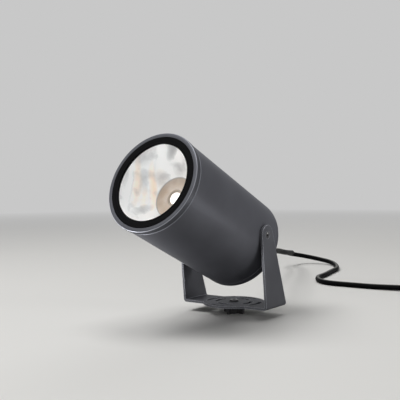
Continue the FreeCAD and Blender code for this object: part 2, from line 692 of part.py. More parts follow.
def cap_screws():
    """Socket screws that hold the rear cap."""
    seat = CAP_REAR + CAP_HEAD_RECESS
    end = SPIGOT_FRONT + CAP_SCREW_BITE
    screws = []
    for x, y in around(CAP_SCREW_COUNT, INNER_BOSS_CIRCLE, 45):
        head = cylinder(M4_HEAD_RADIUS, seat - M4_HEAD, seat, x, y)
        socket = hexagon(2 * CAP_SOCKET_RADIUS, seat - M4_HEAD, seat - M4_HEAD / 2)
        socket.translate(V(x, y, 0))
        screws.append(joined([head, cylinder(M4_RADIUS, seat, end, x, y)]).cut(socket))
    return screws


def gland_body():
    """Threaded gland body with its hexagon against the cap."""
    hex_part = hexagon(GLAND_FLATS, FLANGE_REAR, FLANGE_REAR + GLAND_FLANGE)
    thread = cylinder(GLAND_THREAD_RADIUS, FLANGE_REAR,
                      FLANGE_REAR + GLAND_FLANGE + GLAND_WASHER + GLAND_THREAD_LENGTH)
    collar = cylinder(GLAND_THREAD_RADIUS - 1.0, NUT_REAR + GLAND_NUT_HEX, FLANGE_REAR)
    bore = cylinder(BOOT_ROOT_RADIUS + SEAT_GAP, NUT_REAR, CAP_FLOOR + GLAND_THREAD_LENGTH)
    return joined([hex_part, thread, collar]).cut(bore)


def gland_washer():
    """Flat sealing washer between gland and cap."""
    return ring(GLAND_WASHER_RADIUS, GLAND_THREAD_RADIUS, CAP_REAR - GLAND_WASHER, CAP_REAR)


def gland_locknut():
    """Nut that holds the gland from inside the cap."""
    return hexagon(LOCKNUT_FLATS, CAP_FLOOR, CAP_FLOOR + LOCKNUT_LENGTH).cut(
        cylinder(GLAND_THREAD_RADIUS, CAP_FLOOR, CAP_FLOOR + LOCKNUT_LENGTH))


def gland_nut():
    """Domed clamping nut round the boot."""
    hex_part = hexagon(GLAND_FLATS, FLANGE_REAR - GLAND_NUT_HEX, FLANGE_REAR)
    dome_root = GLAND_FLATS / 2 - 0.4
    dome = Part.makeCone(GLAND_NUT_MOUTH + 1.2, dome_root, GLAND_NUT_LENGTH - GLAND_NUT_HEX,
                         V(0, 0, NUT_REAR))
    bore = cylinder(GLAND_THREAD_RADIUS - 1.0, NUT_REAR + GLAND_NUT_HEX, FLANGE_REAR)
    mouth = cylinder(GLAND_NUT_MOUTH, NUT_REAR, FLANGE_REAR)
    return without(joined([hex_part, dome]), [bore, mouth])


def strain_relief():
    """Tapered rubber boot that grips the cable and leaves the gland."""
    bore = CABLE_RADIUS + SEAT_GAP
    return turned_points([
        (bore, BOOT_REAR), (BOOT_TIP_RADIUS, BOOT_REAR), (BOOT_ROOT_RADIUS, NUT_REAR),
        (BOOT_ROOT_RADIUS, BOOT_FRONT), (bore, BOOT_FRONT)])


def cable_inside():
    """The cable's end inside the boot and the rear space."""
    return cylinder(CABLE_RADIUS, BOOT_REAR, BOOT_FRONT + CABLE_TAIL_INSIDE)


def mains_cores():
    """Three cores from the stripped cable to the terminal block."""
    cores = []
    start = BOOT_FRONT + CABLE_TAIL_INSIDE
    pitch = TERMINAL_WIDTH / 3
    entry = -TRAY_DROP + TERMINAL_HEIGHT / 3
    for k in (-1, 0, 1):
        angle = math.radians(90 - 120 * k)
        x = CORE_CIRCLE * math.cos(angle)
        y = CORE_CIRCLE * math.sin(angle)
        cores.append(bent_wire([(x, y, start), (x, y, start + WIRE_STUB),
                                (k * pitch, entry, TERMINAL_REAR - WIRE_STUB),
                                (k * pitch, entry, TERMINAL_REAR)], WIRE_RADIUS))
    return cores


def pivot_screws():
    """Two countersunk socket screws, flush with the arms, that the head tilts on."""
    neck = ARM_OUTER - PIVOT_HEAD_DEPTH
    head = Part.makeCone(PIVOT_SCREW_RADIUS, PIVOT_HEAD_RADIUS, PIVOT_HEAD_DEPTH - 0.3, V(0, 0, neck))
    rim = cylinder(PIVOT_HEAD_RADIUS, ARM_OUTER - 0.3, ARM_OUTER)
    shank = cylinder(PIVOT_SCREW_RADIUS, ARM_OUTER - PIVOT_SCREW_LENGTH, neck)
    socket = hexagon(SOCKET_ACROSS, ARM_OUTER - SOCKET_DEPTH, ARM_OUTER)
    screw = along_x(joined([head, rim, shank]).cut(socket))
    return [screw, mirrored(screw)]


def friction_washers():
    """Thin washers between the housing's pads and the arms."""
    washer = along_x(ring(FRICTION_WASHER_RADIUS, PIVOT_SCREW_RADIUS, PAD_FACE, ARM_INNER))
    return [washer, mirrored(washer)]


def bracket_side_view():
    """Outline seen from the side: upright to above the fold, then tapering to the round top."""
    half = BASE_WIDTH / 2
    x, low, shoulder = -ARM_OUTER, BASE_ABOVE_GROUND, BASE_ABOVE_GROUND + FOLD_OUTER_RADIUS
    tangents = []
    for side in (-1, 1):
        run = side * half - PIVOT_Y
        drop = shoulder - PIVOT_Z
        distance = math.hypot(run, drop)
        angle = math.atan2(drop, run) + side * math.acos(ARM_TOP_RADIUS / distance)
        tangents.append(V(x, PIVOT_Y + ARM_TOP_RADIUS * math.cos(angle),
                          PIVOT_Z + ARM_TOP_RADIUS * math.sin(angle)))
    corners = [tangents[1], V(x, half, shoulder), V(x, half, low), V(x, -half, low),
               V(x, -half, shoulder), tangents[0]]
    lines = [Part.LineSegment(one, other).toShape() for one, other in zip(corners, corners[1:])]
    top = V(x, PIVOT_Y, PIVOT_Z + ARM_TOP_RADIUS)
    return Part.Face(Part.Wire(lines + [Part.Arc(tangents[0], top, tangents[1]).toShape()]))


def bracket_front_view():
    """Outline of the folded sheet seen from the front."""
    low, high, top = BASE_ABOVE_GROUND, BASE_TOP, PIVOT_Z + ARM_TOP_RADIUS + 1
    y = min(-BASE_WIDTH / 2, PIVOT_Y - ARM_TOP_RADIUS)
    depth = BASE_WIDTH / 2 - y
    plate = [V(-ARM_OUTER, y, low), V(ARM_OUTER, y, low), V(ARM_OUTER, y, top), V(-ARM_OUTER, y, top)]
    inside = [V(-ARM_INNER, y, high), V(ARM_INNER, y, high), V(ARM_INNER, y, top + 1),
              V(-ARM_INNER, y, top + 1)]
    width = V(0, depth, 0)
    outer = round_edges(Part.Face(Part.makePolygon(plate + plate[:1])).extrude(width),
                        FOLD_OUTER_RADIUS, lambda middle, edge: abs(middle.z - low) < 0.01
                        and abs(edge.Length - depth) < 0.01 and abs(middle.x) > 1)
    inner = round_edges(Part.Face(Part.makePolygon(inside + inside[:1])).extrude(width),
                        FOLD_OUTER_RADIUS - SHEET, lambda middle, edge: abs(middle.z - high) < 0.01
                        and abs(edge.Length - depth) < 0.01 and abs(middle.x) > 1)
    return outer.cut(inner)


def arc_slot(circle, span, middle, low, high):
    """Curved slot with round ends, centred on an angle."""
    half = SLOT_WIDTH / 2
    first = math.radians(middle - span / 2)
    last = math.radians(middle + span / 2)
    sector = [V(0, 0, low)] + [V(2 * circle * math.cos(a), 2 * circle * math.sin(a), low)
                               for a in (first, math.radians(middle), last)]
    wedge = Part.Face(Part.makePolygon(sector + sector[:1])).extrude(V(0, 0, high - low))
    band = ring(circle + half, circle - half, low, high).common(wedge)
    ends = [cylinder(half, low, high, circle * math.cos(a), circle * math.sin(a)) for a in (first, last)]
    return joined([band] + ends)


def bracket():
    """U bracket: slotted base disc, strip and two arms."""
    low, high = BASE_ABOVE_GROUND, BASE_TOP
    side = bracket_side_view().extrude(V(2 * ARM_OUTER, 0, 0))
    body = bracket_front_view().common(side)
    body = joined([body, cylinder(DISC_RADIUS, low, high)])
    cutters = [cylinder(BOLT_RADIUS + BOLT_FIT, low, high)]
    for k in range(SLOT_COUNT):
        middle = 360.0 * k / SLOT_COUNT
        cutters.append(arc_slot(OUTER_SLOT_CIRCLE, OUTER_SLOT_ANGLE, middle, low, high))
        cutters.append(arc_slot(INNER_SLOT_CIRCLE, INNER_SLOT_ANGLE, middle, low, high))
    neck = ARM_OUTER - PIVOT_HEAD_DEPTH
    seat = joined([cylinder(PIVOT_SCREW_RADIUS + PIVOT_FIT, ARM_INNER, ARM_OUTER),
                   Part.makeCone(PIVOT_SCREW_RADIUS + PIVOT_FIT, PIVOT_HEAD_RADIUS + PIVOT_FIT,
                                 PIVOT_HEAD_DEPTH - 0.3, V(0, 0, neck)),
                   cylinder(PIVOT_HEAD_RADIUS + PIVOT_FIT, ARM_OUTER - 0.3, ARM_OUTER)])
    seat = along_x(seat)
    seat.translate(V(0, PIVOT_Y, PIVOT_Z))
    return without(body, cutters + [seat, mirrored(seat)])


def swivel_bolt():
    """Socket bolt through the base disc into the spike."""
    seat = BASE_TOP + WASHER_THICKNESS
    head = cylinder(BOLT_HEAD_RADIUS, seat, seat + BOLT_HEAD)
    head = round_edges(head, BOLT_HEAD_ROUND, lambda middle, edge: middle.z > seat + BOLT_HEAD - 0.01)
    shank = cylinder(BOLT_RADIUS, seat - BOLT_LENGTH, seat)
    socket = hexagon(BOLT_SOCKET, seat + BOLT_HEAD - BOLT_SOCKET_DEPTH, seat + BOLT_HEAD)
    return joined([head, shank]).cut(socket)


def swivel_washer():
    """Flat washer under the bolt's head."""
    return ring(WASHER_RADIUS, BOLT_RADIUS, BASE_TOP, BASE_TOP + WASHER_THICKNESS)


def swivel_friction_disc():
    """Fibre disc between the base and the spike's top."""
    return ring(SWIVEL_DISC_RADIUS, BOLT_RADIUS, SPIKE_TOP, BASE_ABOVE_GROUND)


def spike_blade():
    """One tapered blade of the spike, in the XZ plane."""
    half = SPIKE_WIDTH / 2
    top, shoulder, tip = SPIKE_TOP, SPIKE_TOP - SPIKE_STRAIGHT, SPIKE_TOP - SPIKE_LENGTH
    y = -SPIKE_BLADE / 2
    corners = [V(-half, y, top), V(half, y, top), V(half, y, shoulder), V(SPIKE_POINT, y, tip),
               V(-SPIKE_POINT, y, tip), V(-half, y, shoulder)]
    return Part.Face(Part.makePolygon(corners + corners[:1])).extrude(V(0, SPIKE_BLADE, 0))


def ground_spike():
    """Moulded spike of two crossed blades on a round core."""
    across = spike_blade()
    along = spike_blade()
    along.rotate(ORIGIN, AXIS_Z, 90)
    core = cylinder(SPIKE_CORE_RADIUS, SPIKE_TOP - SPIKE_CORE_LENGTH, SPIKE_TOP)
    cutters = [cylinder(INSERT_RADIUS, SPIKE_TOP - INSERT_LENGTH, SPIKE_TOP),
               cylinder(BOLT_RADIUS + SLIDE_GAP, SPIKE_TOP - BOLT_LENGTH, SPIKE_TOP)]
    return without(joined([across, along, core]), cutters)


def spike_insert():
    """Threaded brass insert moulded into the spike."""
    return ring(INSERT_RADIUS, BOLT_RADIUS, SPIKE_TOP - INSERT_LENGTH, SPIKE_TOP)


def on_ground(point):
    """A route point, laid on the ground where it gives no height."""
    return V(point[0], point[1], point[2] if len(point) > 2 else CABLE_ON_GROUND)


def tube(wire, name, radius):
    """Cable along a path; prints its volume against section times length."""
    profile = Part.Wire(Part.Circle(wire.Edges[0].valueAt(wire.Edges[0].FirstParameter),
                                    first_direction(wire), radius).toShape())
    solid = wire.makePipeShell([profile], True, False)
    plain = math.pi * radius ** 2 * wire.Length
    print(name, "length", round(wire.Length, 1), "volume against section times length",
          round(solid.Volume / plain, 4))
    return solid


def biarc(start, start_way, end, end_way):
    """Two arcs that leave and arrive in the given directions."""
    chord = end - start
    both = start_way + end_way
    spread = 2 * (1 - start_way.dot(end_way))
    reach = (-chord.dot(both) + math.sqrt(chord.dot(both) ** 2 + spread * chord.dot(chord))) / spread
    first_corner = start + start_way * reach
    last_corner = end - end_way * reach
    meeting = (first_corner + last_corner) * 0.5
    return [corner_arc(start, first_corner, meeting), corner_arc(meeting, last_corner, end)]


def corner_arc(start, corner, end):
    """Arc that touches both legs of an equal-legged corner."""
    middle = (start + end) * 0.5
    rise = corner.distanceToPoint(middle)
    half = start.distanceToPoint(end) / 2
    sagitta = half * math.tan(math.atan2(rise, half) / 2)
    return Part.Arc(start, middle + (corner - middle).normalize() * sagitta, end).toShape()


def coil_centre():
    """Centre of the coil, beside the point where the cable joins it."""
    heading = math.radians(COIL_HEADING)
    left = V(-math.sin(heading), math.cos(heading), 0)
    return V(COIL_START[0], COIL_START[1], 0) + left * COIL_OUTER_RADIUS


def coil_radius(turn):
    """Radius after some turns: it shrinks, reverses smoothly and grows again."""
    away = abs(turn - coil_turns() / 2)
    inner = COIL_OUTER_RADIUS - COIL_STEP * COIL_TURNS_IN
    if away >= COIL_CLIMB / 2:
        return inner + COIL_STEP * (away - COIL_CLIMB / 2)
    return inner - COIL_STEP * COIL_CLIMB / 4 + COIL_STEP * away ** 2 / COIL_CLIMB


def coil_point(turn):
    """Point on the coil after some turns: in on the ground layer, out on the next."""
    part = min(1.0, max(0.0, (turn - coil_turns() / 2) / COIL_CLIMB + 0.5))
    height = COIL_ON_GROUND + COIL_LAYER * part ** 2 * (3 - 2 * part)
    angle = math.radians(COIL_HEADING - 90) + 2 * math.pi * turn
    radius = coil_radius(turn)
    return coil_centre() + V(radius * math.cos(angle), radius * math.sin(angle), height)


def coil_way(turn):
    """Direction of the coil after some turns."""
    small = 0.0005
    return (coil_point(turn + small) - coil_point(turn - small)).normalize()


def coil_turns():
    """Whole count of turns in the coil."""
    return 2 * COIL_TURNS_IN + COIL_CLIMB


def cable_coil():
    """The unseen length as a neat coil of one unbroken tube in two layers."""
    quarters = int(round(4 * coil_turns()))
    edges = []
    for k in range(quarters):
        a, b = k / 4, (k + 1) / 4
        edges += biarc(coil_point(a), coil_way(a), coil_point(b), coil_way(b))
    first, last = coil_point(0), coil_point(coil_turns())
    lead_in = Part.LineSegment(first - coil_way(0) * COIL_END_STRAIGHT, first).toShape()
    lead_out = Part.LineSegment(last, last + coil_way(coil_turns()) * COIL_END_STRAIGHT).toShape()
    solid = tube(Part.Wire([lead_in] + edges + [lead_out]), "cable_coil", CABLE_RADIUS)
    print("cable_coil least gap to itself", round(coil_gap(), 2))
    return solid


def coil_gap():
    """Least clear distance between turns, measured on points along the coil."""
    steps = 60
    count = int(coil_turns() * steps)
    points = [coil_point(k / steps) for k in range(count + 1)]
    least = 1e9
    for i, first in enumerate(points):
        for second in points[i + steps // 2:]:
            least = min(least, first.distanceToPoint(second))
    return least - 2 * CABLE_RADIUS


def lead_points():
    """Corner points from the boot through the air down towards the ground."""
    tip = head_point(0, 0, BOOT_REAR)
    return [tip, head_point(0, 0, BOOT_REAR - FIRST_RUN)] + [on_ground(point) for point in LEAD_ROUTE]


def lead_end():
    """Where the lead passes into the run: the middle of the run between them."""
    return (on_ground(LEAD_ROUTE[-1]) + on_ground(RUN_ROUTE[0])) * 0.5


def coil_entry():
    """Start of the coil's straight end."""
    return coil_point(0) - coil_way(0) * COIL_END_STRAIGHT


def coil_exit():
    """End of the coil's other straight end."""
    return coil_point(coil_turns()) + coil_way(coil_turns()) * COIL_END_STRAIGHT


def cable_lead():
    """Cable from the boot through the air; it bends when the head tilts."""
    wire, radii = rounded_path(lead_points() + [lead_end()])
    print("cable_lead radii", [round(radius) for radius in radii])
    return tube(wire, "cable_lead", CABLE_RADIUS)


def run_points():
    """Corner points along the ground, the last one straight before the coil."""
    approach = coil_entry() - coil_way(0) * COIL_APPROACH
    return [lead_end()] + [on_ground(point) for point in RUN_ROUTE] + [approach, coil_entry()]


def cable_run():
    """Cable along the ground to the coil."""
    wire, radii = rounded_path(run_points())
    print("cable_run radii", [round(radius) for radius in radii])
    return tube(wire, "cable_run", CABLE_RADIUS)


def plug_way():
    """Level direction in which the cable leaves the coil for the plug."""
    way = coil_way(coil_turns())
    return V(way.x, way.y, 0).normalize()


def plug_entry():
    """Point where the cable enters the plug's grip."""
    level = coil_exit() + plug_way() * PLUG_DISTANCE
    return V(level.x, level.y, PLUG_BODY_RADIUS)


def tail_points():
    """Corner points from the coil's top layer to the plug."""
    start, way, end = coil_exit(), plug_way(), plug_entry()
    third = PLUG_DISTANCE / 3
    return [start, start + way * third, end - way * third, end]


def cable_tail():
    """Short end of cable from the coil to the plug."""
    wire, radii = rounded_path(tail_points())
    print("cable_tail radii", [round(radius) for radius in radii])
    return tube(wire, "cable_tail", CABLE_RADIUS)


def at_plug(shape):
    """Move a part from an upright axis to the plug's place, pins away from the cable."""
    placed = shape.copy()
    placed.rotate(ORIGIN, AXIS_Y, 90)
    way = plug_way()
    placed.rotate(ORIGIN, AXIS_Z, math.degrees(math.atan2(way.y, way.x)))
    placed.translate(plug_entry())
    return placed


def plug_body():
    """Moulded rubber plug: tapered grip and round contact body."""
    face = PLUG_GRIP_LENGTH + PLUG_BODY_LENGTH
    shape = turned_points([
        (0, 0), (PLUG_NECK_RADIUS, 0), (PLUG_GRIP_RADIUS, PLUG_TAPER_LENGTH),
        (PLUG_SHOULDER_RADIUS, PLUG_SHOULDER_LENGTH),
        (PLUG_BODY_RADIUS - PLUG_REAR_ROUND, PLUG_GRIP_LENGTH),
        (PLUG_BODY_RADIUS, PLUG_GRIP_LENGTH + PLUG_REAR_ROUND), (PLUG_BODY_RADIUS, face - PLUG_FACE_EDGE),
        (PLUG_BODY_RADIUS - PLUG_FACE_EDGE, face), (0, face)])
    return at_plug(shape)


def plug_pins():
    """Two contact pins."""
    base = PLUG_GRIP_LENGTH + PLUG_BODY_LENGTH
    pins = []
    for side in (-1, 1):
        pin = cylinder(PLUG_PIN_RADIUS, base, base + PLUG_PIN_LENGTH, 0, side * PLUG_PIN_SPACING / 2)
        pin = round_edges(pin, PLUG_PIN_ROUND, lambda middle, edge: middle.z > base + PLUG_PIN_LENGTH - 0.01)
        pins.append(at_plug(pin))
    return pins


def coil_tie():
    """Strap closed round the coil's turns on its far side."""
    near = coil_radius(coil_turns() / 2) - CABLE_RADIUS - TIE_GAP
    far = coil_radius(TIE_TURN) + CABLE_RADIUS + TIE_GAP
    low = TIE_THICKNESS
    high = COIL_ON_GROUND + COIL_LAYER + CABLE_RADIUS + SEAT_GAP
    half = TIE_WIDTH / 2
    outer = box(near - TIE_THICKNESS, far + TIE_THICKNESS, -half, half, 0, high + TIE_THICKNESS)
    strap = outer.cut(box(near, far, -half, half, low, high))
    strap.rotate(ORIGIN, AXIS_Z, 90 + COIL_HEADING)
    strap.translate(coil_centre())
    return strap


def main():
    """Build every node and write its file."""
    os.makedirs("parts", exist_ok=True)
    head = {
        "housing": housing(), "front_bezel": front_bezel(), "bezel_o_ring": bezel_o_ring(),
        "lens_seal": lens_seal(), "lens_glass": lens_glass(), "reflector": reflector(),
        "led_holder": led_holder(), "led_board": led_board(), "led_emitter": led_emitter(),
        "thermal_pad": thermal_pad(), "heat_spreader": heat_spreader(), "driver_tray": driver_tray(),
        "driver": driver(), "terminal_block": terminal_block(), "rear_cap": rear_cap(),
        "cap_o_ring": cap_o_ring(), "gland_body": gland_body(), "gland_washer": gland_washer(),
        "gland_locknut": gland_locknut(), "gland_nut": gland_nut(), "strain_relief": strain_relief(),
        "cable_inside": cable_inside(),
    }
    head_groups = {
        "holder_screws": holder_screws(), "spreader_screws": spreader_screws(),
        "tray_screws": tray_screws(), "led_wires": led_wires(), "cap_screws": cap_screws(),
        "mains_cores": mains_cores(), "pivot_screws": pivot_screws(),
        "friction_washers": friction_washers(),
    }
    for name, shape in head.items():
        save(name, on_head(shape))
    for name, shapes in head_groups.items():
        save(name, on_head(Part.makeCompound(shapes)))
    still = {
        "bracket": bracket(), "swivel_bolt": swivel_bolt(), "swivel_washer": swivel_washer(),
        "swivel_friction_disc": swivel_friction_disc(), "ground_spike": ground_spike(),
        "spike_insert": spike_insert(), "cable_lead": cable_lead(), "cable_run": cable_run(),
        "cable_coil": cable_coil(), "cable_tail": cable_tail(), "coil_tie": coil_tie(),
        "plug_body": plug_body(), "plug_pins": Part.makeCompound(plug_pins()),
    }
    for name, shape in still.items():
        save(name, shape)


main()
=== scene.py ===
"""Looks of a garden spike spotlight: tilting head, U bracket, ground spike and coiled rubber lead."""

import logging
import math
from contextlib import contextmanager
from dataclasses import dataclass
from enum import Enum
from typing import Callable, Iterator, Sequence

import bpy
from mathutils import Matrix, Vector


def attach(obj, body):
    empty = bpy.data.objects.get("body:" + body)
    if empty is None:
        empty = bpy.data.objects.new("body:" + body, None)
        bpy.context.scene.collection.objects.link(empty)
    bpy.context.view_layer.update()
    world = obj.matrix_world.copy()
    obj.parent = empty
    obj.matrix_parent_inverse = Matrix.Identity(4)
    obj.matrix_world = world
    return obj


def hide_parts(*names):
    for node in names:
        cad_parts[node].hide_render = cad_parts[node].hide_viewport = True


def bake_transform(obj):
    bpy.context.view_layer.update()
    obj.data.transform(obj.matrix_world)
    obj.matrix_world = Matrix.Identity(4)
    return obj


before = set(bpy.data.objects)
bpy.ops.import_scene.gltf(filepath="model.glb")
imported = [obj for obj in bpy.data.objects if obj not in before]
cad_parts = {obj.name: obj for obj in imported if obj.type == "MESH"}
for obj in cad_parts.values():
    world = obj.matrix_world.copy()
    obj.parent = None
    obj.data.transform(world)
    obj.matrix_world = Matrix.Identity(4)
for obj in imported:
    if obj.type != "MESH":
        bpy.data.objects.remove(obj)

LOG = logging.getLogger("spotlight")
Point = tuple[float, float, float]
Colour = tuple[float, float, float]
Station = tuple[float, float]
Socket = bpy.types.NodeSocket
Node = bpy.types.Node
Piece = bpy.types.Object
Material = bpy.types.Material

MM = 0.001
# The head's pivot in metres, and its axis at rest: above level in degrees, and from the Z axis.
HEAD_PIVOT = (0.0, -0.017, 0.087)
HEAD_ELEVATION = 25.0
HEAD_TURN = math.radians(90.0 - HEAD_ELEVATION)
# Cosine between the soft and the true normal where an edge starts to show and where it shows in full.
EDGE_FLAT = 0.995
EDGE_SHARP = 0.90
# How much lighter a painted highlight line is than its coat, and the colour of the dust and painted highlight
# on upward faces.
HIGHLIGHT_LINE_GAIN = 3.4
DUST_AND_TOP_HIGHLIGHT = (0.17, 0.17, 0.16)
# Points nearer than this are one point, in metres; faces of a CAD node within these degrees are one face.
WELD = 1e-7
CAD_WELD = 2e-6
CAD_FLAT = 0.4


class Body(Enum):
    """The three bodies that the pieces ride on."""

    SPIKE = "spike"
    BRACKET = "bracket"
    HEAD = "head"


class Slot(Enum):
    """Material slot names, listed beside some of the lead's pieces but not read."""

    CASTING = "graphite_casting"
    SHEET = "graphite_sheet"
    SEAL = "black_seal_rubber"
    GLASS = "clear_glass"
    REFLECTOR = "bright_aluminium"
    HOLDER = "white_holder_plastic"
    WINDOW = "light_window"
    STEEL = "bright_steel"
    BLACK_STEEL = "black_steel"
    GLAND = "black_gland_plastic"
    CABLE = "cable_rubber"
    SPIKE = "spike_plastic"
    PLUG = "plug_rubber"
    TIE = "tie_fabric"


def srgb(red: int, green: int, blue: int) -> Colour:
    """Turn a colour read on a 0 to 255 scale into linear light.

    Args:
        red: Red value.
        green: Green value.
        blue: Blue value.

    Returns:
        The linear colour.
    """
    def linear(value: int) -> float:
        """One channel in linear light."""
        share = value / 255
        return share / 12.92 if share <= 0.04045 else ((share + 0.055) / 1.055) ** 2.4
    return linear(red), linear(green), linear(blue)


def toned(colour: Colour, factor: float, lift: float = 0.0) -> Colour:
    """A colour times a factor plus a lift, at most white."""
    return tuple(min(1.0, part * factor + lift) for part in colour)


class NodeDesk:
    """A node tree with short calls to add and join nodes."""

    def __init__(self, tree: bpy.types.NodeTree) -> None:
        """Keep the tree that nodes are added to."""
        self.tree = tree

    def add(self, kind: str, **settings: object) -> Node:
        """Add a node.

        Args:
            kind: Node type name.
            settings: Node properties to set.

        Returns:
            The new node.
        """
        node = self.tree.nodes.new(kind)
        for key, value in settings.items():
            setattr(node, key, value)
        return node

    def join(self, out: Socket, into: Socket) -> None:
        """Join two sockets."""
        self.tree.links.new(out, into)

    def feed(self, value: object, into: Socket) -> None:
        """Feed a socket from another socket or with a plain value."""
        if isinstance(value, Socket):
            self.join(value, into)
        else:
            into.default_value = value

    def math(self, operation: str, first: object, second: object = 0.0) -> Socket:
        """Work out a number from two others.

        Args:
            operation: Name of the operation.
            first: Socket or number.
            second: Socket or number.

        Returns:
            The result's socket.
        """
        node = self.add("ShaderNodeMath", operation=operation)
        self.feed(first, node.inputs[0])
        self.feed(second, node.inputs[1])
        return node.outputs[0]

    def vector(self, operation: str, *values: object) -> Socket:
        """Work out a vector, a length or a dot product.

        Args:
            operation: Name of the operation.
            values: Sockets or vectors.

        Returns:
            The result's socket.
        """
        node = self.add("ShaderNodeVectorMath", operation=operation)
        for value, socket in zip(values, node.inputs):
            self.feed(value, socket)
        return node.outputs["Value" if operation in ("LENGTH", "DOT_PRODUCT") else "Vector"]

    def wire(self, node: Node, **values: object) -> None:
        """Feed several inputs of a node, named with underscores for spaces."""
        for key, value in values.items():
            self.feed(value, node.inputs[key.replace("_", " ")])

    def object_place(self) -> Socket:
        """Place in the object's own frame."""
        return self.add("ShaderNodeTexCoord").outputs["Object"]

    def split(self, vector: Socket) -> Node:
        """Node that holds a vector's X, Y and Z apart."""
        node = self.add("ShaderNodeSeparateXYZ")
        self.join(vector, node.inputs[0])
        return node

    def blend(self, share: object, first: object, second: object) -> Socket:
        """Blend two colours by a share.

        Args:
            share: Socket or number, 0 for the first colour and 1 for the second.
            first: Socket or colour.
            second: Socket or colour.

        Returns:
            The blended colour's socket.
        """
        node = self.add("ShaderNodeMix", data_type="RGBA")
        self.feed(share, node.inputs[0])
        for value, socket in ((first, node.inputs[6]), (second, node.inputs[7])):
            self.feed(value if isinstance(value, Socket) else (*value, 1.0), socket)
        return node.outputs[2]

    def mix_shaders(self, share: object, first: Socket, second: Socket,
                    out: Socket) -> None:
        """Mix two shaders by a share and join the result to an output."""
        node = self.add("ShaderNodeMixShader")
        for value, socket in zip((share, first, second), node.inputs):
            self.feed(value, socket)
        self.join(node.outputs[0], out)

    def remap(self, value: object, low: float, high: float, to_low: float = 0.0,
              to_high: float = 1.0) -> Socket:
        """Map a number from one range to another, clamped.

        Args:
            value: Socket to map.
            low: Start of its range.
            high: End of its range.
            to_low: Result at the start.
            to_high: Result at the end.

        Returns:
            The mapped number's socket.
        """
        node = self.add("ShaderNodeMapRange")
        self.feed(value, node.inputs[0])
        for index, number in enumerate((low, high, to_low, to_high), start=1):
            node.inputs[index].default_value = number
        return node.outputs[0]

    def noise(self, vector: object, scale: object, detail: float) -> Socket:
        """Cloudy noise read at a vector.

        Args:
            vector: Socket that gives the place.
            scale: Clouds per metre, roughly, as a socket or number.
            detail: Octaves of finer clouds.

        Returns:
            The noise's strength, 0 to 1.
        """
        node = self.add("ShaderNodeTexNoise")
        self.wire(node, Vector=vector, Scale=scale, Detail=detail)
        return node.outputs[0]


class SharedEffects:
    """Node groups that several finishes use."""

    def __init__(self) -> None:
        """Build each group once."""
        self.grain = self._grain()
        self.edge = self._edge()

    @staticmethod
    def _group(name: str, inputs: dict[str, float],
               outputs: Sequence[str]) -> tuple[NodeDesk, Node, Node]:
        """Start a node group.

        Args:
            name: Name of the group.
            inputs: Each number input with its usual value.
            outputs: Names of the number outputs.

        Returns:
            The desk for the group, its input node and its output node.
        """
        tree = bpy.data.node_groups.new(name, "ShaderNodeTree")
        for key, value in inputs.items():
            socket = tree.interface.new_socket(key, in_out="INPUT", socket_type="NodeSocketFloat")
            socket.default_value = value
        for key in outputs:
            tree.interface.new_socket(key, in_out="OUTPUT", socket_type="NodeSocketFloat")
        desk = NodeDesk(tree)
        return desk, desk.add("NodeGroupInput"), desk.add("NodeGroupOutput")

    def _grain(self) -> bpy.types.NodeTree:
        """Fine surface grain with slow clouds over it."""
        desk, given, result = self._group("surface grain", {"Grain": 1500.0, "Clouds": 30.0},
                                          ("Height", "Clouds"))
        place = desk.object_place()
        for key, detail, out in (("Grain", 2.0, "Height"), ("Clouds", 3.0, "Clouds")):
            desk.join(desk.noise(place, given.outputs[key], detail), result.inputs[out])
        return desk.tree

    def _edge(self) -> bpy.types.NodeTree:
        """Mask that is strong along convex and concave edges."""
        desk, given, result = self._group("edge mask", {"Width": 0.0006, "Amount": 1.0}, ("Mask",))
        soft = desk.add("ShaderNodeBevel", samples=4)
        desk.join(given.outputs["Width"], soft.inputs["Radius"])
        normal = desk.add("ShaderNodeNewGeometry").outputs["Normal"]
        bend = desk.remap(desk.vector("DOT_PRODUCT", soft.outputs[0], normal), EDGE_FLAT, EDGE_SHARP)
        desk.join(desk.math("MULTIPLY", bend, given.outputs["Amount"]), result.inputs["Mask"])
        return desk.tree

    def place(self, desk: NodeDesk, group: bpy.types.NodeTree, **values: float) -> Node:
        """Place a group in a material.

        Args:
            desk: Desk of the material.
            group: Group to place.
            values: Its inputs.

        Returns:
            The group's node.
        """
        node = desk.add("ShaderNodeGroup", node_tree=group)
        desk.wire(node, **values)
        return node


def start_material(name: str, **numbers: object) -> tuple[Material, NodeDesk, Node]:
    """Start a material with its surface shader.

    Args:
        name: Name of the finish.
        numbers: Plain values of the shader's sockets, with underscores for spaces.

    Returns:
        The material, its desk and its shader node.
    """
    material = bpy.data.materials.new(name)
    material.use_nodes = True
    desk = NodeDesk(material.node_tree)
    shader = next(node for node in material.node_tree.nodes if node.type == "BSDF_PRINCIPLED")
    desk.wire(shader, **numbers)
    return material, desk, shader


def add_bump(desk: NodeDesk, shader: Node, height: object, strength: float, depth: float) -> None:
    """Give a shader a bumpy surface.

    Args:
        desk: Desk of the material.
        shader: Its surface shader.
        height: Socket with the height.
        strength: Share of the bump that shows.
        depth: Depth of the bumps in metres.
    """
    bump = desk.add("ShaderNodeBump")
    desk.wire(bump, Strength=strength, Distance=depth, Height=height)
    desk.join(bump.outputs[0], shader.inputs["Normal"])


def head_bench(desk: NodeDesk, place: Socket) -> tuple[Node, Socket]:
    """Turn a place into the head's own frame, its axis along Z and the pivot at zero.

    Args:
        desk: Desk of the material.
        place: Socket with the place in the object's frame.

    Returns:
        The node that holds X, Y and Z apart, and the socket with the distance from the axis.
    """
    bench = desk.add("ShaderNodeMapping", vector_type="TEXTURE")
    desk.wire(bench, Vector=place, Location=HEAD_PIVOT, Rotation=(HEAD_TURN, 0.0, 0.0))
    flat = desk.vector("MULTIPLY", bench.outputs[0], (1.0, 1.0, 0.0))
    return desk.split(bench.outputs[0]), desk.vector("LENGTH", flat)


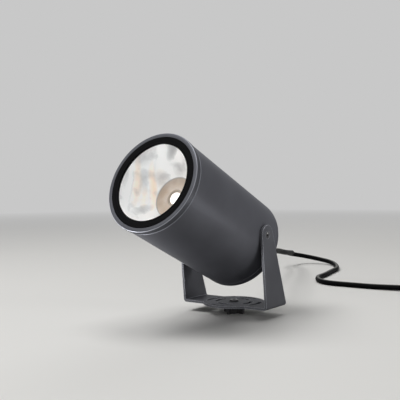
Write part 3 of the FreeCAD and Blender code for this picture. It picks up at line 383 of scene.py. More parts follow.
@dataclass(frozen=True)
class HighlightLine:
    """A thin painted highlight line round the head's axis, in millimetres on the bench."""

    radius: float
    height: float
    half_width: float
    strength: float


@dataclass(frozen=True)
class Coat:
    """A coloured surface with fine grain, slow clouds, edges lightened as rubbing wear and painted highlight,
    painted highlight lines round the head's axis, and dust and painted highlight on top.
    """

    name: str
    colour: Colour
    roughness: float
    grain: float = 1500.0
    grain_depth: float = 0.00004
    grain_strength: float = 0.25
    clouds: float = 30.0
    shift: float = 0.12
    edge_light: float = 0.0
    edge_width: float = 0.0006
    metallic: float = 0.0
    specular: float = 0.5
    dust: float = 0.0
    lines: tuple[HighlightLine, ...] = ()
    rim_tint: float = 1.0
    edge_gain: float = 1.9

    def _painted_highlight_lines(self, desk: NodeDesk) -> object:
        """Mask of the painted highlight lines round the head's axis, where edges catch the light.

        Args:
            desk: Desk of the material.

        Returns:
            The mask's socket.
        """
        parts, reach = head_bench(desk, desk.object_place())
        mask: object = 0.0
        for line in self.lines:
            out = desk.math("SUBTRACT", reach, line.radius * MM)
            along = desk.math("SUBTRACT", parts.outputs["Z"], line.height * MM)
            square = desk.math("ADD", desk.math("MULTIPLY", out, out), desk.math("MULTIPLY", along, along))
            width = line.half_width * MM
            near = desk.remap(desk.math("SQRT", square), width * 0.6, width, line.strength, 0.0)
            mask = desk.math("MAXIMUM", mask, near)
        return mask

    def material(self, effects: SharedEffects) -> Material:
        """Make the material.

        Args:
            effects: Shared node groups.

        Returns:
            The material.
        """
        result, desk, shader = start_material(
            self.name, Metallic=self.metallic, Specular_IOR_Level=self.specular,
            Specular_Tint=(self.rim_tint,) * 3 + (1.0,))
        grain = effects.place(desk, effects.grain, Grain=self.grain, Clouds=self.clouds)
        clouds = grain.outputs["Clouds"]
        colour = desk.blend(desk.remap(clouds, 0.35, 0.65), toned(self.colour, 1 - self.shift),
                            toned(self.colour, 1 + self.shift))
        # Edges painted lighter: partly rubbing wear, partly painted highlight.
        if self.edge_light > 0:
            edge = effects.place(desk, effects.edge, Width=self.edge_width, Amount=self.edge_light)
            colour = desk.blend(edge.outputs["Mask"], colour, toned(self.colour, self.edge_gain, 0.03))
        # Painted highlight lines round the head's axis.
        if self.lines:
            colour = desk.blend(self._painted_highlight_lines(desk), colour, toned(self.colour, HIGHLIGHT_LINE_GAIN))
        # Upward faces painted lighter: dust and painted highlight on top.
        if self.dust > 0:
            facing = desk.split(desk.add("ShaderNodeNewGeometry").outputs["Normal"])
            colour = desk.blend(desk.remap(facing.outputs["Z"], 0.80, 0.98, 0.0, self.dust), colour, DUST_AND_TOP_HIGHLIGHT)
        rough = desk.remap(clouds, 0.3, 0.7, self.roughness * 0.9, min(1.0, self.roughness * 1.1))
        desk.wire(shader, Base_Color=colour, Roughness=rough)
        add_bump(desk, shader, grain.outputs["Height"], self.grain_strength, self.grain_depth)
        return result


@dataclass(frozen=True)
class BrushedMetal:
    """Bare metal with fine lines along one axis."""

    name: str
    colour: Colour
    roughness: float
    stretch: Point = (1.0, 1.0, 40.0)

    def material(self, effects: SharedEffects) -> Material:
        """Make the material.

        Args:
            effects: Shared node groups.

        Returns:
            The material.
        """
        result, desk, shader = start_material(self.name, Metallic=1.0)
        mapping = desk.add("ShaderNodeMapping")
        desk.wire(mapping, Vector=desk.object_place(), Scale=self.stretch)
        lines = desk.noise(mapping.outputs[0], 250.0, 4.0)
        desk.wire(shader, Base_Color=desk.blend(lines, toned(self.colour, 0.8), self.colour),
                  Roughness=desk.remap(lines, 0.3, 0.7, self.roughness * 0.75, self.roughness * 1.3))
        edge = effects.place(desk, effects.edge, Width=0.0003, Amount=0.4)
        height = desk.math("ADD", lines, desk.math("MULTIPLY", edge.outputs["Mask"], 0.4))
        add_bump(desk, shader, height, 0.15, 0.00002)
        return result


@dataclass(frozen=True)
class GlintBolt:
    """Blackened bolt head with a painted glint: bright and partly metallic within the socket radius of a
    centre point.
    """

    name: str = "blackened bolt"
    dark: Colour = (0.075, 0.076, 0.082)
    bright: Colour = (0.82, 0.82, 0.80)
    socket: float = 0.0017
    centre: Point = (0.0, 0.0, 0.0)
    keep: Point = (1.0, 1.0, 0.0)

    def material(self, effects: SharedEffects) -> Material:
        """Make the material.

        Args:
            effects: Shared node groups.

        Returns:
            The material.
        """
        result, desk, shader = start_material(self.name, Specular_IOR_Level=0.4)
        shifted = desk.vector("SUBTRACT", desk.object_place(), self.centre)
        reach = desk.vector("LENGTH", desk.vector("MULTIPLY", shifted, self.keep))
        # Painted glint: bright within the socket radius of the centre, dark outside.
        glint = desk.remap(reach, self.socket * 0.9, self.socket * 1.15, 1.0, 0.0)
        desk.wire(shader, Base_Color=desk.blend(glint, self.dark, self.bright),
                  Roughness=desk.remap(glint, 0.0, 1.0, 0.42, 0.25),
                  Metallic=desk.math("MULTIPLY", glint, 0.4))
        grain = effects.place(desk, effects.grain, Grain=2600.0, Clouds=120.0)
        add_bump(desk, shader, grain.outputs["Height"], 0.15, 0.00002)
        return result


@dataclass(frozen=True)
class ReflectionPatch:
    """A soft patch of painted reflection on the reflector's wall."""

    across: float
    up: float
    half_width: float
    half_height: float
    strength: float


@dataclass(frozen=True)
class ReflectorFinish:
    """Vapour-coated bowl with a painted glow: bright, with warm and grey painted reflection streaks, and a
    brown-grey floor painted lighter to one side and darker near the wall and in the corner.
    """

    name: str = "reflector mirror"
    mouth: Point = (0.0, -0.1303, 0.1398)
    floor: float = 0.0920
    sideways: Point = (0.809, 0.587, 0.0)
    bright: Colour = (0.93, 0.93, 0.93)
    warm: Colour = (0.90, 0.74, 0.60)
    grey: Colour = (0.27, 0.27, 0.28)
    floor_brown: Colour = (0.60, 0.46, 0.35)
    floor_painted_light: Colour = (0.88, 0.82, 0.77)
    floor_radius: float = 0.0210
    # Strength of the bowl's painted glow.
    glow: float = 0.28
    drift_scale: float = 26.0
    drift_reach: float = 0.011
    lean: float = -0.07
    mottle_scale: float = 85.0
    ray_scale: float = 55.0
    warm_reflection_patches: tuple[ReflectionPatch, ...] = (
        ReflectionPatch(-0.0182, 0.0032, 0.0042, 0.021, 0.8), ReflectionPatch(-0.0033, -0.0040, 0.0040, 0.023, 1.0),
        ReflectionPatch(0.0050, 0.0040, 0.0075, 0.014, 0.3), ReflectionPatch(-0.0120, -0.0140, 0.0030, 0.010, 0.5))
    grey_reflection_patches: tuple[ReflectionPatch, ...] = (
        ReflectionPatch(0.0142, 0.0310, 0.0045, 0.0070, 0.75), ReflectionPatch(-0.0118, -0.0256, 0.0080, 0.0038, 0.5),
        ReflectionPatch(-0.0118, 0.0040, 0.0040, 0.0150, 0.4), ReflectionPatch(-0.0150, 0.0270, 0.0130, 0.0110, 0.4),
        ReflectionPatch(-0.0231, -0.0050, 0.0013, 0.0200, 0.25), ReflectionPatch(0.0230, 0.0130, 0.0060, 0.0080, 0.4),
        ReflectionPatch(0.0060, 0.0050, 0.0075, 0.0120, 0.35), ReflectionPatch(-0.0300, 0.0100, 0.0030, 0.0160, 0.35),
        ReflectionPatch(0.0000, 0.0180, 0.0020, 0.0120, 0.2), ReflectionPatch(-0.0080, -0.0160, 0.0016, 0.0130, 0.2))

    @staticmethod
    def _patches(desk: NodeDesk, patches: Sequence[ReflectionPatch], across: object, up: object) -> object:
        """Strongest of several soft patches.

        Args:
            desk: Desk of the material.
            patches: The patches.
            across: Socket with the place across the wall.
            up: Socket with the place up the wall.

        Returns:
            The mask's socket.
        """
        mask: object = 0.0
        for patch in patches:
            wide = desk.math("DIVIDE", desk.math("SUBTRACT", across, patch.across), patch.half_width)
            high = desk.math("DIVIDE", desk.math("SUBTRACT", up, patch.up), patch.half_height)
            far = desk.math("ADD", desk.math("MULTIPLY", wide, wide), desk.math("MULTIPLY", high, high))
            soft = desk.remap(far, 0.0, 1.6, patch.strength, 0.0)
            mask = desk.math("MAXIMUM", mask, soft)
        return mask

    def material(self, effects: SharedEffects) -> Material:
        """Make the material.

        Args:
            effects: Shared node groups.

        Returns:
            The material.
        """
        result, desk, shader = start_material(self.name, Metallic=0.5, Specular_IOR_Level=0.3,
                                              Emission_Strength=self.glow)
        place = desk.object_place()
        shifted = desk.vector("SUBTRACT", place, self.mouth)
        drift = desk.noise(place, self.drift_scale, 2.0)
        sway = desk.math("MULTIPLY", desk.math("SUBTRACT", drift, 0.5), self.drift_reach)
        along = desk.vector("DOT_PRODUCT", shifted, self.sideways)
        height = desk.split(shifted).outputs["Z"]
        across = desk.math("ADD", desk.math("ADD", along, sway), desk.math("MULTIPLY", height, self.lean))
        up = desk.math("ADD", height, sway)
        # Painted reflections: warm and grey streaks on the wall.
        colour = desk.blend(self._patches(desk, self.warm_reflection_patches, across, up), self.bright, self.warm)
        colour = desk.blend(self._patches(desk, self.grey_reflection_patches, across, up), colour, self.grey)
        mottle = desk.remap(desk.noise(place, self.mottle_scale, 3.0), 0.48, 0.72, 0.0, 0.4)
        colour = desk.blend(mottle, colour, self.grey)
        # The floor: painted light, lighter towards +X on the bench and in noisy rays, and painted shade
        # towards the wall and in the corner.
        depth, ring = head_bench(desk, place)
        level = depth.outputs["Z"]
        floor = desk.remap(level, self.floor + 0.0002, self.floor + 0.0006, 1.0, 0.0)
        rays = desk.noise(place, self.ray_scale, 2.0)
        right = desk.remap(depth.outputs["X"], -0.012, 0.016, 0.0, 0.55)
        light = desk.math("ADD", right, desk.remap(rays, 0.35, 0.65, -0.1, 0.45))
        tone = desk.blend(light, self.floor_brown, self.floor_painted_light)
        shade = desk.math("MULTIPLY", desk.remap(ring, 0.013, 0.021, 0.0, 0.45),
                          desk.math("SUBTRACT", 1.0, light))
        colour = desk.blend(floor, colour, desk.blend(shade, tone, toned(self.floor_brown, 0.45)))
        gap = desk.math("ABSOLUTE", desk.math("SUBTRACT", ring, self.floor_radius))
        corner = desk.math("MULTIPLY", desk.remap(gap, 0.0002, 0.0009, 0.6, 0.0),
                           desk.remap(level, self.floor + 0.0008, self.floor + 0.0016, 1.0, 0.0))
        colour = desk.blend(corner, colour, self.grey)
        # Painted glow: the wall emits its colour, the floor a darker brown.
        desk.wire(shader, Base_Color=colour, Roughness=desk.remap(drift, 0.3, 0.7, 0.36, 0.46),
                  Emission_Color=desk.blend(floor, colour, toned(self.floor_brown, 0.35)))
        grain = effects.place(desk, effects.grain, Grain=500.0, Clouds=60.0)
        add_bump(desk, shader, grain.outputs["Clouds"], 0.12, 0.0008)
        return result


@dataclass(frozen=True)
class LensGlass:
    """Clear toughened glass with a faint green edge."""

    name: str = "lens glass"
    tint: Colour = (0.97, 0.99, 0.985)

    def material(self, effects: SharedEffects) -> Material:
        """Make the material.

        Args:
            effects: Shared node groups.

        Returns:
            The material.
        """
        result, desk, shader = start_material(self.name, Transmission_Weight=1.0, IOR=1.45,
                                              Specular_IOR_Level=0.35)
        clouds = effects.place(desk, effects.grain, Grain=900.0, Clouds=40.0).outputs["Clouds"]
        desk.wire(shader, Base_Color=desk.blend(clouds, self.tint, (1.0, 1.0, 1.0)),
                  Roughness=desk.remap(clouds, 0.45, 0.8, 0.0, 0.03))
        return result


@dataclass(frozen=True)
class LightWindow:
    """The round window of the light source, glowing softly."""

    name: str = "light window"
    colour: Colour = (1.0, 0.99, 0.96)
    border: Colour = (0.55, 0.44, 0.35)
    lit_radius: float = 0.0058
    strength: float = 1.15

    def material(self, effects: SharedEffects) -> Material:
        """Make the material.

        Args:
            effects: Shared node groups.

        Returns:
            The material.
        """
        result, desk, shader = start_material(self.name, Roughness=0.4, Emission_Strength=self.strength)
        grain = effects.place(desk, effects.grain, Grain=4000.0, Clouds=200.0)
        glow = desk.blend(grain.outputs["Clouds"], toned(self.colour, 0.96), self.colour)
        reach = head_bench(desk, desk.object_place())[1]
        outside = desk.remap(reach, self.lit_radius, self.lit_radius + 0.0005)
        desk.wire(shader, Base_Color=desk.blend(outside, glow, self.border),
                  Emission_Color=desk.blend(outside, glow, toned(self.border, 0.15)))
        return result


@dataclass(frozen=True)
class CoreJackets:
    """Wire jackets whose colour changes from one core to the next across X."""

    name: str
    colours: tuple[Colour, Colour, Colour]
    half_width: float

    def material(self, effects: SharedEffects) -> Material:
        """Make the material.

        Args:
            effects: Shared node groups.

        Returns:
            The material.
        """
        result, desk, shader = start_material(self.name, Roughness=0.45)
        across = desk.split(desk.object_place()).outputs["X"]
        left = desk.math("LESS_THAN", across, -self.half_width)
        right = desk.math("GREATER_THAN", across, self.half_width)
        colour = desk.blend(left, self.colours[1], self.colours[0])
        desk.wire(shader, Base_Color=desk.blend(right, colour, self.colours[2]))
        grain = effects.place(desk, effects.grain, Grain=2500.0, Clouds=200.0)
        add_bump(desk, shader, grain.outputs["Height"], 0.2, 0.00003)
        return result


@dataclass(frozen=True)
class WovenStrap:
    """Woven strap with a hook-and-loop face."""

    name: str = "strap weave"
    dark: Colour = (0.012, 0.012, 0.013)
    light: Colour = (0.05, 0.05, 0.053)

    def material(self, effects: SharedEffects) -> Material:
        """Make the material.

        Args:
            effects: Shared node groups.

        Returns:
            The material.
        """
        result, desk, shader = start_material(self.name, Roughness=0.9, Sheen_Weight=0.4)
        weave = desk.add("ShaderNodeTexWave", wave_type="BANDS", bands_direction="DIAGONAL")
        desk.wire(weave, Vector=desk.object_place(), Scale=220.0)
        grain = effects.place(desk, effects.grain, Grain=3000.0, Clouds=250.0)
        height = desk.math("ADD", weave.outputs["Fac"], grain.outputs["Height"])
        desk.wire(shader, Base_Color=desk.blend(desk.remap(height, 0.4, 1.6), self.dark, self.light))
        add_bump(desk, shader, height, 0.6, 0.0003)
        return result


class Finishes:
    """All finishes, made once and handed out by name."""

    def __init__(self) -> None:
        """Make every material."""
        effects = SharedEffects()

        def coat(name: str, colour: tuple[int, int, int], roughness: float,
                 **settings: object) -> Material:
            """One coat, its colour on a 0 to 255 scale."""
            return Coat(name, srgb(*colour), roughness, **settings).material(effects)

        def metal(name: str, colour: Colour, roughness: float, *stretch: Point) -> Material:
            """One brushed metal."""
            return BrushedMetal(name, colour, roughness, *stretch).material(effects)

        powder = {"metallic": 0.3, "specular": 0.02, "rim_tint": 0.3}
        # The casting's and the front ring's lines are painted highlights on the joint chamfer and the front
        # outer edge.
        self.casting = coat("graphite powder coat", (103, 104, 110), 0.41, grain=1400.0, grain_strength=0.18,
                            shift=0.05, edge_light=0.3, edge_width=0.0009,
                            lines=(HighlightLine(49.1, 124.7, 0.75, 0.6),), **powder)
        self.bezel = coat("graphite front ring", (91, 92, 97), 0.36, grain=1400.0, grain_strength=0.18,
                          shift=0.05, lines=(HighlightLine(49.68, 131.18, 0.45, 1.0),), **powder)
        # The sheet's edges are painted much lighter, a painted highlight along the bracket arms' edges.
        self.sheet = coat("graphite coated sheet", (105, 106, 111), 0.42, grain=1700.0, grain_strength=0.22,
                          shift=0.06, edge_light=1.0, edge_width=0.0010, edge_gain=3.2, **powder)
        self.seal = coat("seal rubber", (12, 12, 13), 0.75, grain=2200.0, shift=0.1, specular=0.04)
        # Cable and boot: upward faces painted lighter, dust and painted highlight on top.
        self.cable = coat("cable jacket", (15, 15, 16), 0.5, grain=900.0, grain_strength=0.06, clouds=18.0,
                          shift=0.25, specular=0.02, dust=0.8)
        self.boot = coat("boot rubber", (15, 15, 16), 0.55, grain=2000.0, specular=0.02, dust=0.5)
        self.plug = coat("plug rubber", (32, 32, 33), 0.58, grain=1800.0, clouds=45.0, edge_light=0.15)
        self.gland = coat("gland plastic", (36, 36, 38), 0.42, grain=2600.0, shift=0.1, edge_light=0.2)
        self.spike = coat("spike plastic", (27, 27, 29), 0.5, grain=1100.0, grain_strength=0.3, clouds=22.0,
                          shift=0.15, edge_light=0.25)
        self.holder = coat("holder plastic", (196, 182, 166), 0.5, grain=2600.0, shift=0.03)
        self.board = coat("board ceramic", (236, 236, 232), 0.35, grain=3500.0, shift=0.02)
        self.pad = coat("heat pad", (150, 154, 162), 0.8, grain=3000.0, shift=0.08)
        self.driver = coat("driver case", (38, 38, 40), 0.4, grain=1300.0, shift=0.1)
        self.terminal = coat("terminal block", (214, 212, 204), 0.5, grain=2400.0, shift=0.04)
        self.fibre = coat("fibre disc", (142, 74, 48), 0.75, grain=1600.0, shift=0.2)
        self.nylon = coat("nylon washer", (52, 52, 54), 0.5, grain=2200.0, shift=0.08)
        self.steel = metal("zinc plated steel", (0.66, 0.66, 0.655), 0.3)
        self.black_steel = metal("blackened steel", (0.10, 0.10, 0.105), 0.36)
        # Both bolt kinds carry a painted glint: round the centre bolt's socket, and just above the pivot
        # screws' centre.
        self.bolt = GlintBolt().material(effects)
        self.pivot_screw = GlintBolt("blackened pivot screw", (0.045, 0.045, 0.05), (0.75, 0.75, 0.74), 0.0011,
                                    (0.0, -0.0172, 0.0885), (0.0, 1.0, 1.0)).material(effects)
        self.pins = metal("nickel pins", (0.74, 0.72, 0.67), 0.2, (30.0, 1.0, 1.0))
        self.aluminium = metal("milled aluminium", (0.70, 0.70, 0.71), 0.33, (1.0, 30.0, 1.0))
        self.zinc = metal("zinc sheet", (0.60, 0.61, 0.62), 0.42, (1.0, 8.0, 8.0))
        self.brass = metal("insert brass", (0.78, 0.58, 0.26), 0.3)
        self.reflector = ReflectorFinish().material(effects)
        self.glass = LensGlass().material(effects)
        self.window = LightWindow().material(effects)
        self.strap = WovenStrap().material(effects)
        black = srgb(30, 30, 32)
        self.led_wires = CoreJackets("light source wires", (srgb(170, 30, 26), black, black),
                                     0.0).material(effects)
        self.cores = CoreJackets("mains cores", (srgb(96, 56, 32), srgb(60, 130, 60), srgb(34, 74, 150)),
                                 0.003).material(effects)


def link(thing: Piece) -> None:
    """Put an object into the scene."""
    bpy.context.scene.collection.objects.link(thing)


def nothing_selected() -> None:
    """Leave edit mode and deselect every object."""
    if bpy.context.object is not None and bpy.context.object.mode != "OBJECT":
        bpy.ops.object.mode_set(mode="OBJECT")
    bpy.ops.object.select_all(action="DESELECT")


def take_up(piece: Piece) -> None:
    """Select one piece and make it the active one."""
    nothing_selected()
    piece.select_set(True)
    bpy.context.view_layer.objects.active = piece


@contextmanager
def editing(elements: str = "", everything: bool = False) -> Iterator[None]:
    """Edit the active mesh for a while.

    Args:
        elements: What to select by, or nothing to leave that as it is.
        everything: Whether to start with all of the mesh selected.
    """
    bpy.ops.object.mode_set(mode="EDIT")
    if elements:
        bpy.ops.mesh.select_mode(type=elements)
    if everything:
        bpy.ops.mesh.select_all(action="SELECT")
    yield
    bpy.ops.object.mode_set(mode="OBJECT")


def close_ring() -> None:
    """Extrude the selected ring in place and merge the new one at its centre."""
    bpy.ops.mesh.extrude_edges_move(TRANSFORM_OT_translate={"value": (0, 0, 0)})
    bpy.ops.mesh.merge(type="CENTER")


def pick_faces(piece: Piece, chosen: Callable[[bpy.types.MeshPolygon], bool]) -> None:
    """Select faces by a test, from object mode, ready for edit mode.

    Args:
        piece: Piece whose faces are tested.
        chosen: Test of one face.
    """
    mesh = piece.data
    for group in (mesh.vertices, mesh.edges, mesh.polygons):
        group.foreach_set("select", [False] * len(group))
    for face in mesh.polygons:
        face.select = chosen(face)


def apply_modifier(piece: Piece, kind: str, **settings: object) -> None:
    """Add a modifier to a piece and apply it.

    Args:
        piece: Piece to change.
        kind: Modifier type.
        settings: Modifier properties.
    """
    take_up(piece)
    modifier = piece.modifiers.new("shape", kind)
    for key, value in settings.items():
        setattr(modifier, key, value)
    bpy.ops.object.modifier_apply(modifier=modifier.name)


def bevel(piece: Piece, width: float, degrees: float, harden: bool = False) -> None:
    """Break the edges of a piece that are sharper than an angle.

    Args:
        piece: Piece to change.
        width: Width of the broken edges in metres.
        degrees: Angle above which an edge counts as sharp.
        harden: Whether the faces between keep their own normals.
    """
    apply_modifier(piece, "BEVEL", width=width, segments=2, limit_method="ANGLE",
                   angle_limit=math.radians(degrees), harden_normals=harden)


def block(name: str, low: Point, high: Point) -> Piece:
    """Add a block between two corners.

    Args:
        name: Name of the piece.
        low: Its low corner in millimetres.
        high: Its high corner in millimetres.

    Returns:
        The block.
    """
    nothing_selected()
    middle = tuple((a + b) / 2 * MM for a, b in zip(low, high))
    bpy.ops.mesh.primitive_cube_add(size=1, location=middle,
                                    scale=tuple((b - a) * MM for a, b in zip(low, high)))
    piece = bpy.context.object
    piece.name = name
    bpy.ops.object.transform_apply(location=True, scale=True)
    return piece


def smooth(piece: Piece, degrees: float) -> None:
    """Shade a piece smooth, with creases where faces meet at more than an angle."""
    take_up(piece)
    bpy.ops.object.shade_smooth_by_angle(angle=math.radians(degrees))


def lathe(name: str, stations: Sequence[Station], sides: int, closed: bool = False) -> Piece:
    """Turn a piece about Z: a circle is extruded and scaled from station to station.

    Args:
        name: Name of the piece.
        stations: Radius and height of each ring, in millimetres. A radius of zero closes the end.
        sides: Number of sides of each ring.
        closed: Whether the last ring meets the first again.

    Returns:
        The piece, its rings around the Z axis.
    """
    rings = list(stations)
    first_pole, last_pole = rings[0][0] == 0, rings[-1][0] == 0
    rings = rings[first_pole:len(rings) - last_pole]
    if closed:
        rings = rings + rings[:1]
    nothing_selected()
    radius, height = rings[0]
    bpy.ops.mesh.primitive_circle_add(vertices=sides, radius=radius * MM, location=(0, 0, height * MM),
                                      fill_type="NGON" if first_pole else "NOTHING")
    piece = bpy.context.object
    piece.name = name
    bpy.ops.object.transform_apply(location=True)
    if first_pole:
        with editing(everything=True):
            bpy.ops.mesh.delete(type="ONLY_FACE")
            bpy.ops.mesh.select_all(action="SELECT")
            close_ring()
        for vertex in piece.data.vertices:
            vertex.select = vertex.co.xy.length > WELD
        for edge in piece.data.edges:
            edge.select = all(piece.data.vertices[k].co.xy.length > WELD for k in edge.vertices)
    with editing("EDGE" if first_pole else "", everything=not first_pole):
        for next_radius, next_height in rings[1:]:
            rise = (0, 0, (next_height - height) * MM)
            bpy.ops.mesh.extrude_edges_move(TRANSFORM_OT_translate={"value": rise})
            share = next_radius / radius
            bpy.ops.transform.resize(value=(share, share, 1), center_override=(0, 0, next_height * MM))
            radius, height = next_radius, next_height
        if last_pole:
            close_ring()
        bpy.ops.mesh.select_mode(type="VERT")
        bpy.ops.mesh.select_all(action="SELECT")
        bpy.ops.mesh.remove_doubles(threshold=WELD)
        bpy.ops.mesh.normals_make_consistent(inside=False)
    return piece


def cast_from_node(name: str, node: str, edge: float, crease: float = 32.0) -> Piece:
    """Take a clean copy of a CAD node and break its sharp edges.

    Args:
        name: Name of the new piece.
        node: CAD node that it stands for.
        edge: Width of the broken edges in metres, or 0 for none.
        crease: Angle in degrees above which an edge counts as sharp.

    Returns:
        The new piece, which replaces the node.
    """
    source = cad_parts[node]
    piece = source.copy()
    piece.data = source.data.copy()
    piece.name = name
    piece.parent = None
    piece.matrix_world = Matrix.Identity(4)
    link(piece)
    piece.hide_render = False
    take_up(piece)
    with editing(everything=True):
        bpy.ops.mesh.remove_doubles(threshold=CAD_WELD)
        bpy.ops.mesh.dissolve_limited(angle_limit=math.radians(CAD_FLAT))
    if piece.data.has_custom_normals:
        bpy.ops.mesh.customdata_custom_splitnormals_clear()
    smooth(piece, crease)
    if edge > 0:
        bevel(piece, edge, crease, harden=True)
    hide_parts(node)
    return piece


def dress(piece: Piece, material: Material) -> None:
    """Give a piece or a CAD node one material all over."""
    if not piece.material_slots:
        piece.data.materials.append(material)
    for slot in piece.material_slots:
        slot.material = material


def dress_nodes(**materials: Material) -> None:
    """Dress CAD nodes that are shown as they are, by name."""
    for node, material in materials.items():
        dress(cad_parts[node], material)


def finish_piece(piece: Piece, body: Body, material: Material) -> None:
    """Dress a new piece, put it on its body and report it.

    Args:
        piece: The piece.
        body: Body that it rides on.
        material: Its finish.
    """
    dress(piece, material)
    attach(piece, body.value)
    LOG.info("%s: %d faces on %s", piece.name, len(piece.data.polygons), body.value)


@dataclass
class LampHead:
    """The tilting head: housing, bezel, lens, reflector, light source, rear cap and gland."""

    pivot: Point = (0.0, -17.0, 87.0)
    joint: float = 125.25
    front: float = 131.5
    bezel_radius: float = 50.0
    lip_radius: float = 46.0
    seal_opening: float = 38.7
    reflector_mouth: float = 41.2
    reflector_floor: float = 21.0
    reflector_bulge: float = 4.4
    reflector_steps: int = 28
    floor_height: float = 92.0
    rim_height: float = 125.55
    gland_flats: float = 20.0
    nut_rear: float = -47.5
    nut_front: float = -35.0
    boot_rear: float = -58.0
    seat: float = 47.0
    inner_wall: float = 44.7
    thread_end: float = 113.25
    ring_groove: tuple[float, float, float] = (45.3, 120.3, 122.25)
    seal_face: float = 131.35
    seal_edge: float = 46.95
    glass_seat: tuple[float, float] = (126.45, 130.45)

    def placed(self, piece: Piece) -> Piece:
        """Move a piece from the bench axis to the head at its rest tilt.

        Args:
            piece: Piece drawn along Z, with the pivot at zero.

        Returns:
            The piece, its place in its mesh.
        """
        shift = Matrix.Translation(Vector(self.pivot) * MM)
        piece.data.transform(shift @ Matrix.Rotation(HEAD_TURN, 4, "X"))
        piece.data.update()
        return piece

    def _turned(self, name: str, node: str, stations: Sequence[Station], sides: int = 160,
                closed: bool = True, crease: float = 35.0) -> Piece:
        """Turn a piece on the bench and put it in its place on the head.

        Args:
            name: Name of the piece.
            node: CAD node that it stands for.
            stations: Radius and height of each ring, in millimetres.
            sides: Number of sides of each ring.
            closed: Whether the last ring meets the first again.
            crease: Angle in degrees above which an edge stays sharp.

        Returns:
            The piece.
        """
        piece = lathe(name, stations, sides, closed)
        smooth(piece, crease)
        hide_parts(node)
        return self.placed(piece)

    def build(self, finishes: Finishes) -> None:
        """Build and dress the whole head.

        Args:
            finishes: The finishes.
        """
        self._shell(finishes)
        self._lens(finishes)
        self._reflector(finishes)
        self._light_source(finishes)
        self._gland(finishes)

    def _shell(self, finishes: Finishes) -> None:
        """Housing, bezel, rear cap and their screws."""
        for name, node, crease in (("housing_coated", "housing", 24.0),
                                   ("rear_cap_coated", "rear_cap", 28.0)):
            casting = cast_from_node(name, node, 0.0, crease)
            finish_piece(casting, Body.HEAD, finishes.casting)
        finish_piece(self._bezel(), Body.HEAD, finishes.bezel)
        for node, finish in (("cap_screws", finishes.black_steel), ("pivot_screws", finishes.pivot_screw)):
            screws = cast_from_node(node + "_broken_edges", node, 0.00012)
            finish_piece(screws, Body.HEAD, finish)
        dress_nodes(friction_washers=finishes.nylon, bezel_o_ring=finishes.seal, cap_o_ring=finishes.seal,
                    gland_washer=finishes.seal)

    def _bezel(self) -> Piece:
        """Turn the front ring with its soft outer edge, fine lip edge and joint chamfer.

        Returns:
            The bezel.
        """
        outer, front, back = self.bezel_radius, self.front, self.joint
        lip, seat, wall, rim = self.lip_radius, self.seat, self.inner_wall, self.rim_height
        groove, groove_rear, groove_front = self.ring_groove
        stations = [(outer - 0.8, back), (outer - 0.1, back + 0.7), (outer, back + 0.85), (outer, back + 1.2)]
        for degrees in (90, 72, 54, 36, 18, 0):
            angle = math.radians(degrees)
            stations.append((outer - 1.1 + 1.1 * math.sin(angle), front - 1.1 + 1.1 * math.cos(angle)))
        stations += [(lip + 0.25, front), (lip + 0.06, front - 0.06), (lip, front - 0.25), (lip, front - 1.1),
                     (seat, front - 1.1), (seat, rim), (wall, rim), (wall, self.thread_end),
                     (seat, self.thread_end), (seat, groove_rear), (groove, groove_rear),
                     (groove, groove_front), (seat, groove_front), (seat, back)]
        return self._turned("bezel_ring", "front_bezel", stations)

    def _lens(self, finishes: Finishes) -> None:
        """Glass disc and the black seal round it."""
        hole, face, edge, back = self.seal_opening, self.seal_face, self.seal_edge, self.rim_height
        rear, front = self.glass_seat
        stations = [(hole, front), (hole, face - 0.25), (hole + 0.08, face - 0.08), (hole + 0.25, face),
                    (hole + 2.2, face), (hole + 2.35, face - 0.07), (hole + 2.6, face - 0.07),
                    (hole + 2.75, face), (45.6, face), (45.85, face - 0.1), (edge - 1.0, face - 0.35),
                    (edge - 1.0, front - 0.1), (edge, front - 0.1), (edge, back), (40.5, back), (40.5, rear),
                    (44.35, rear), (44.35, front)]
        seal = self._turned("lens_seal_ring", "lens_seal", stations)
        finish_piece(seal, Body.HEAD, finishes.seal)
        radius, rear, front = 44.3, rear + 0.01, front - 0.01
        stations = [(0, rear), (radius - 0.3, rear), (radius, rear + 0.3), (radius, front - 0.3),
                    (radius - 0.3, front), (0, front)]
        disc = self._turned("lens_disc", "lens_glass", stations, closed=False)
        finish_piece(disc, Body.HEAD, finishes.glass)

    def _reflector(self, finishes: Finishes) -> None:
        """Deep bowl with a rolled rim and a flat floor."""
        floor, rim, foot = self.floor_height, self.rim_height, self.reflector_floor
        inner = []
        for step in range(self.reflector_steps + 1):
            share = step / self.reflector_steps
            bulge = self.reflector_bulge * share * (1 - share)
            radius = foot + (self.reflector_mouth - foot) * share + bulge
            inner.append((radius, floor + (rim - floor) * share))
        outer = [(radius + 1.0, max(floor - 1.0, height - 0.6)) for radius, height in inner[:-2]]
        stations = [(8.6, floor), (8.9, floor + 0.02), (14.0, floor), (foot - 0.6, floor),
                    (foot - 0.2, floor + 0.12)]
        stations += inner[1:] + [(44.3, rim), (44.4, rim - 0.2), (44.4, rim - 0.9), (42.4, rim - 1.0)]
        stations += outer[-2:0:-1] + [(foot + 1.0, floor - 1.0), (8.6, floor - 1.0)]
        bowl = self._turned("reflector_bowl", "reflector", stations, crease=30.0)
        finish_piece(bowl, Body.HEAD, finishes.reflector)

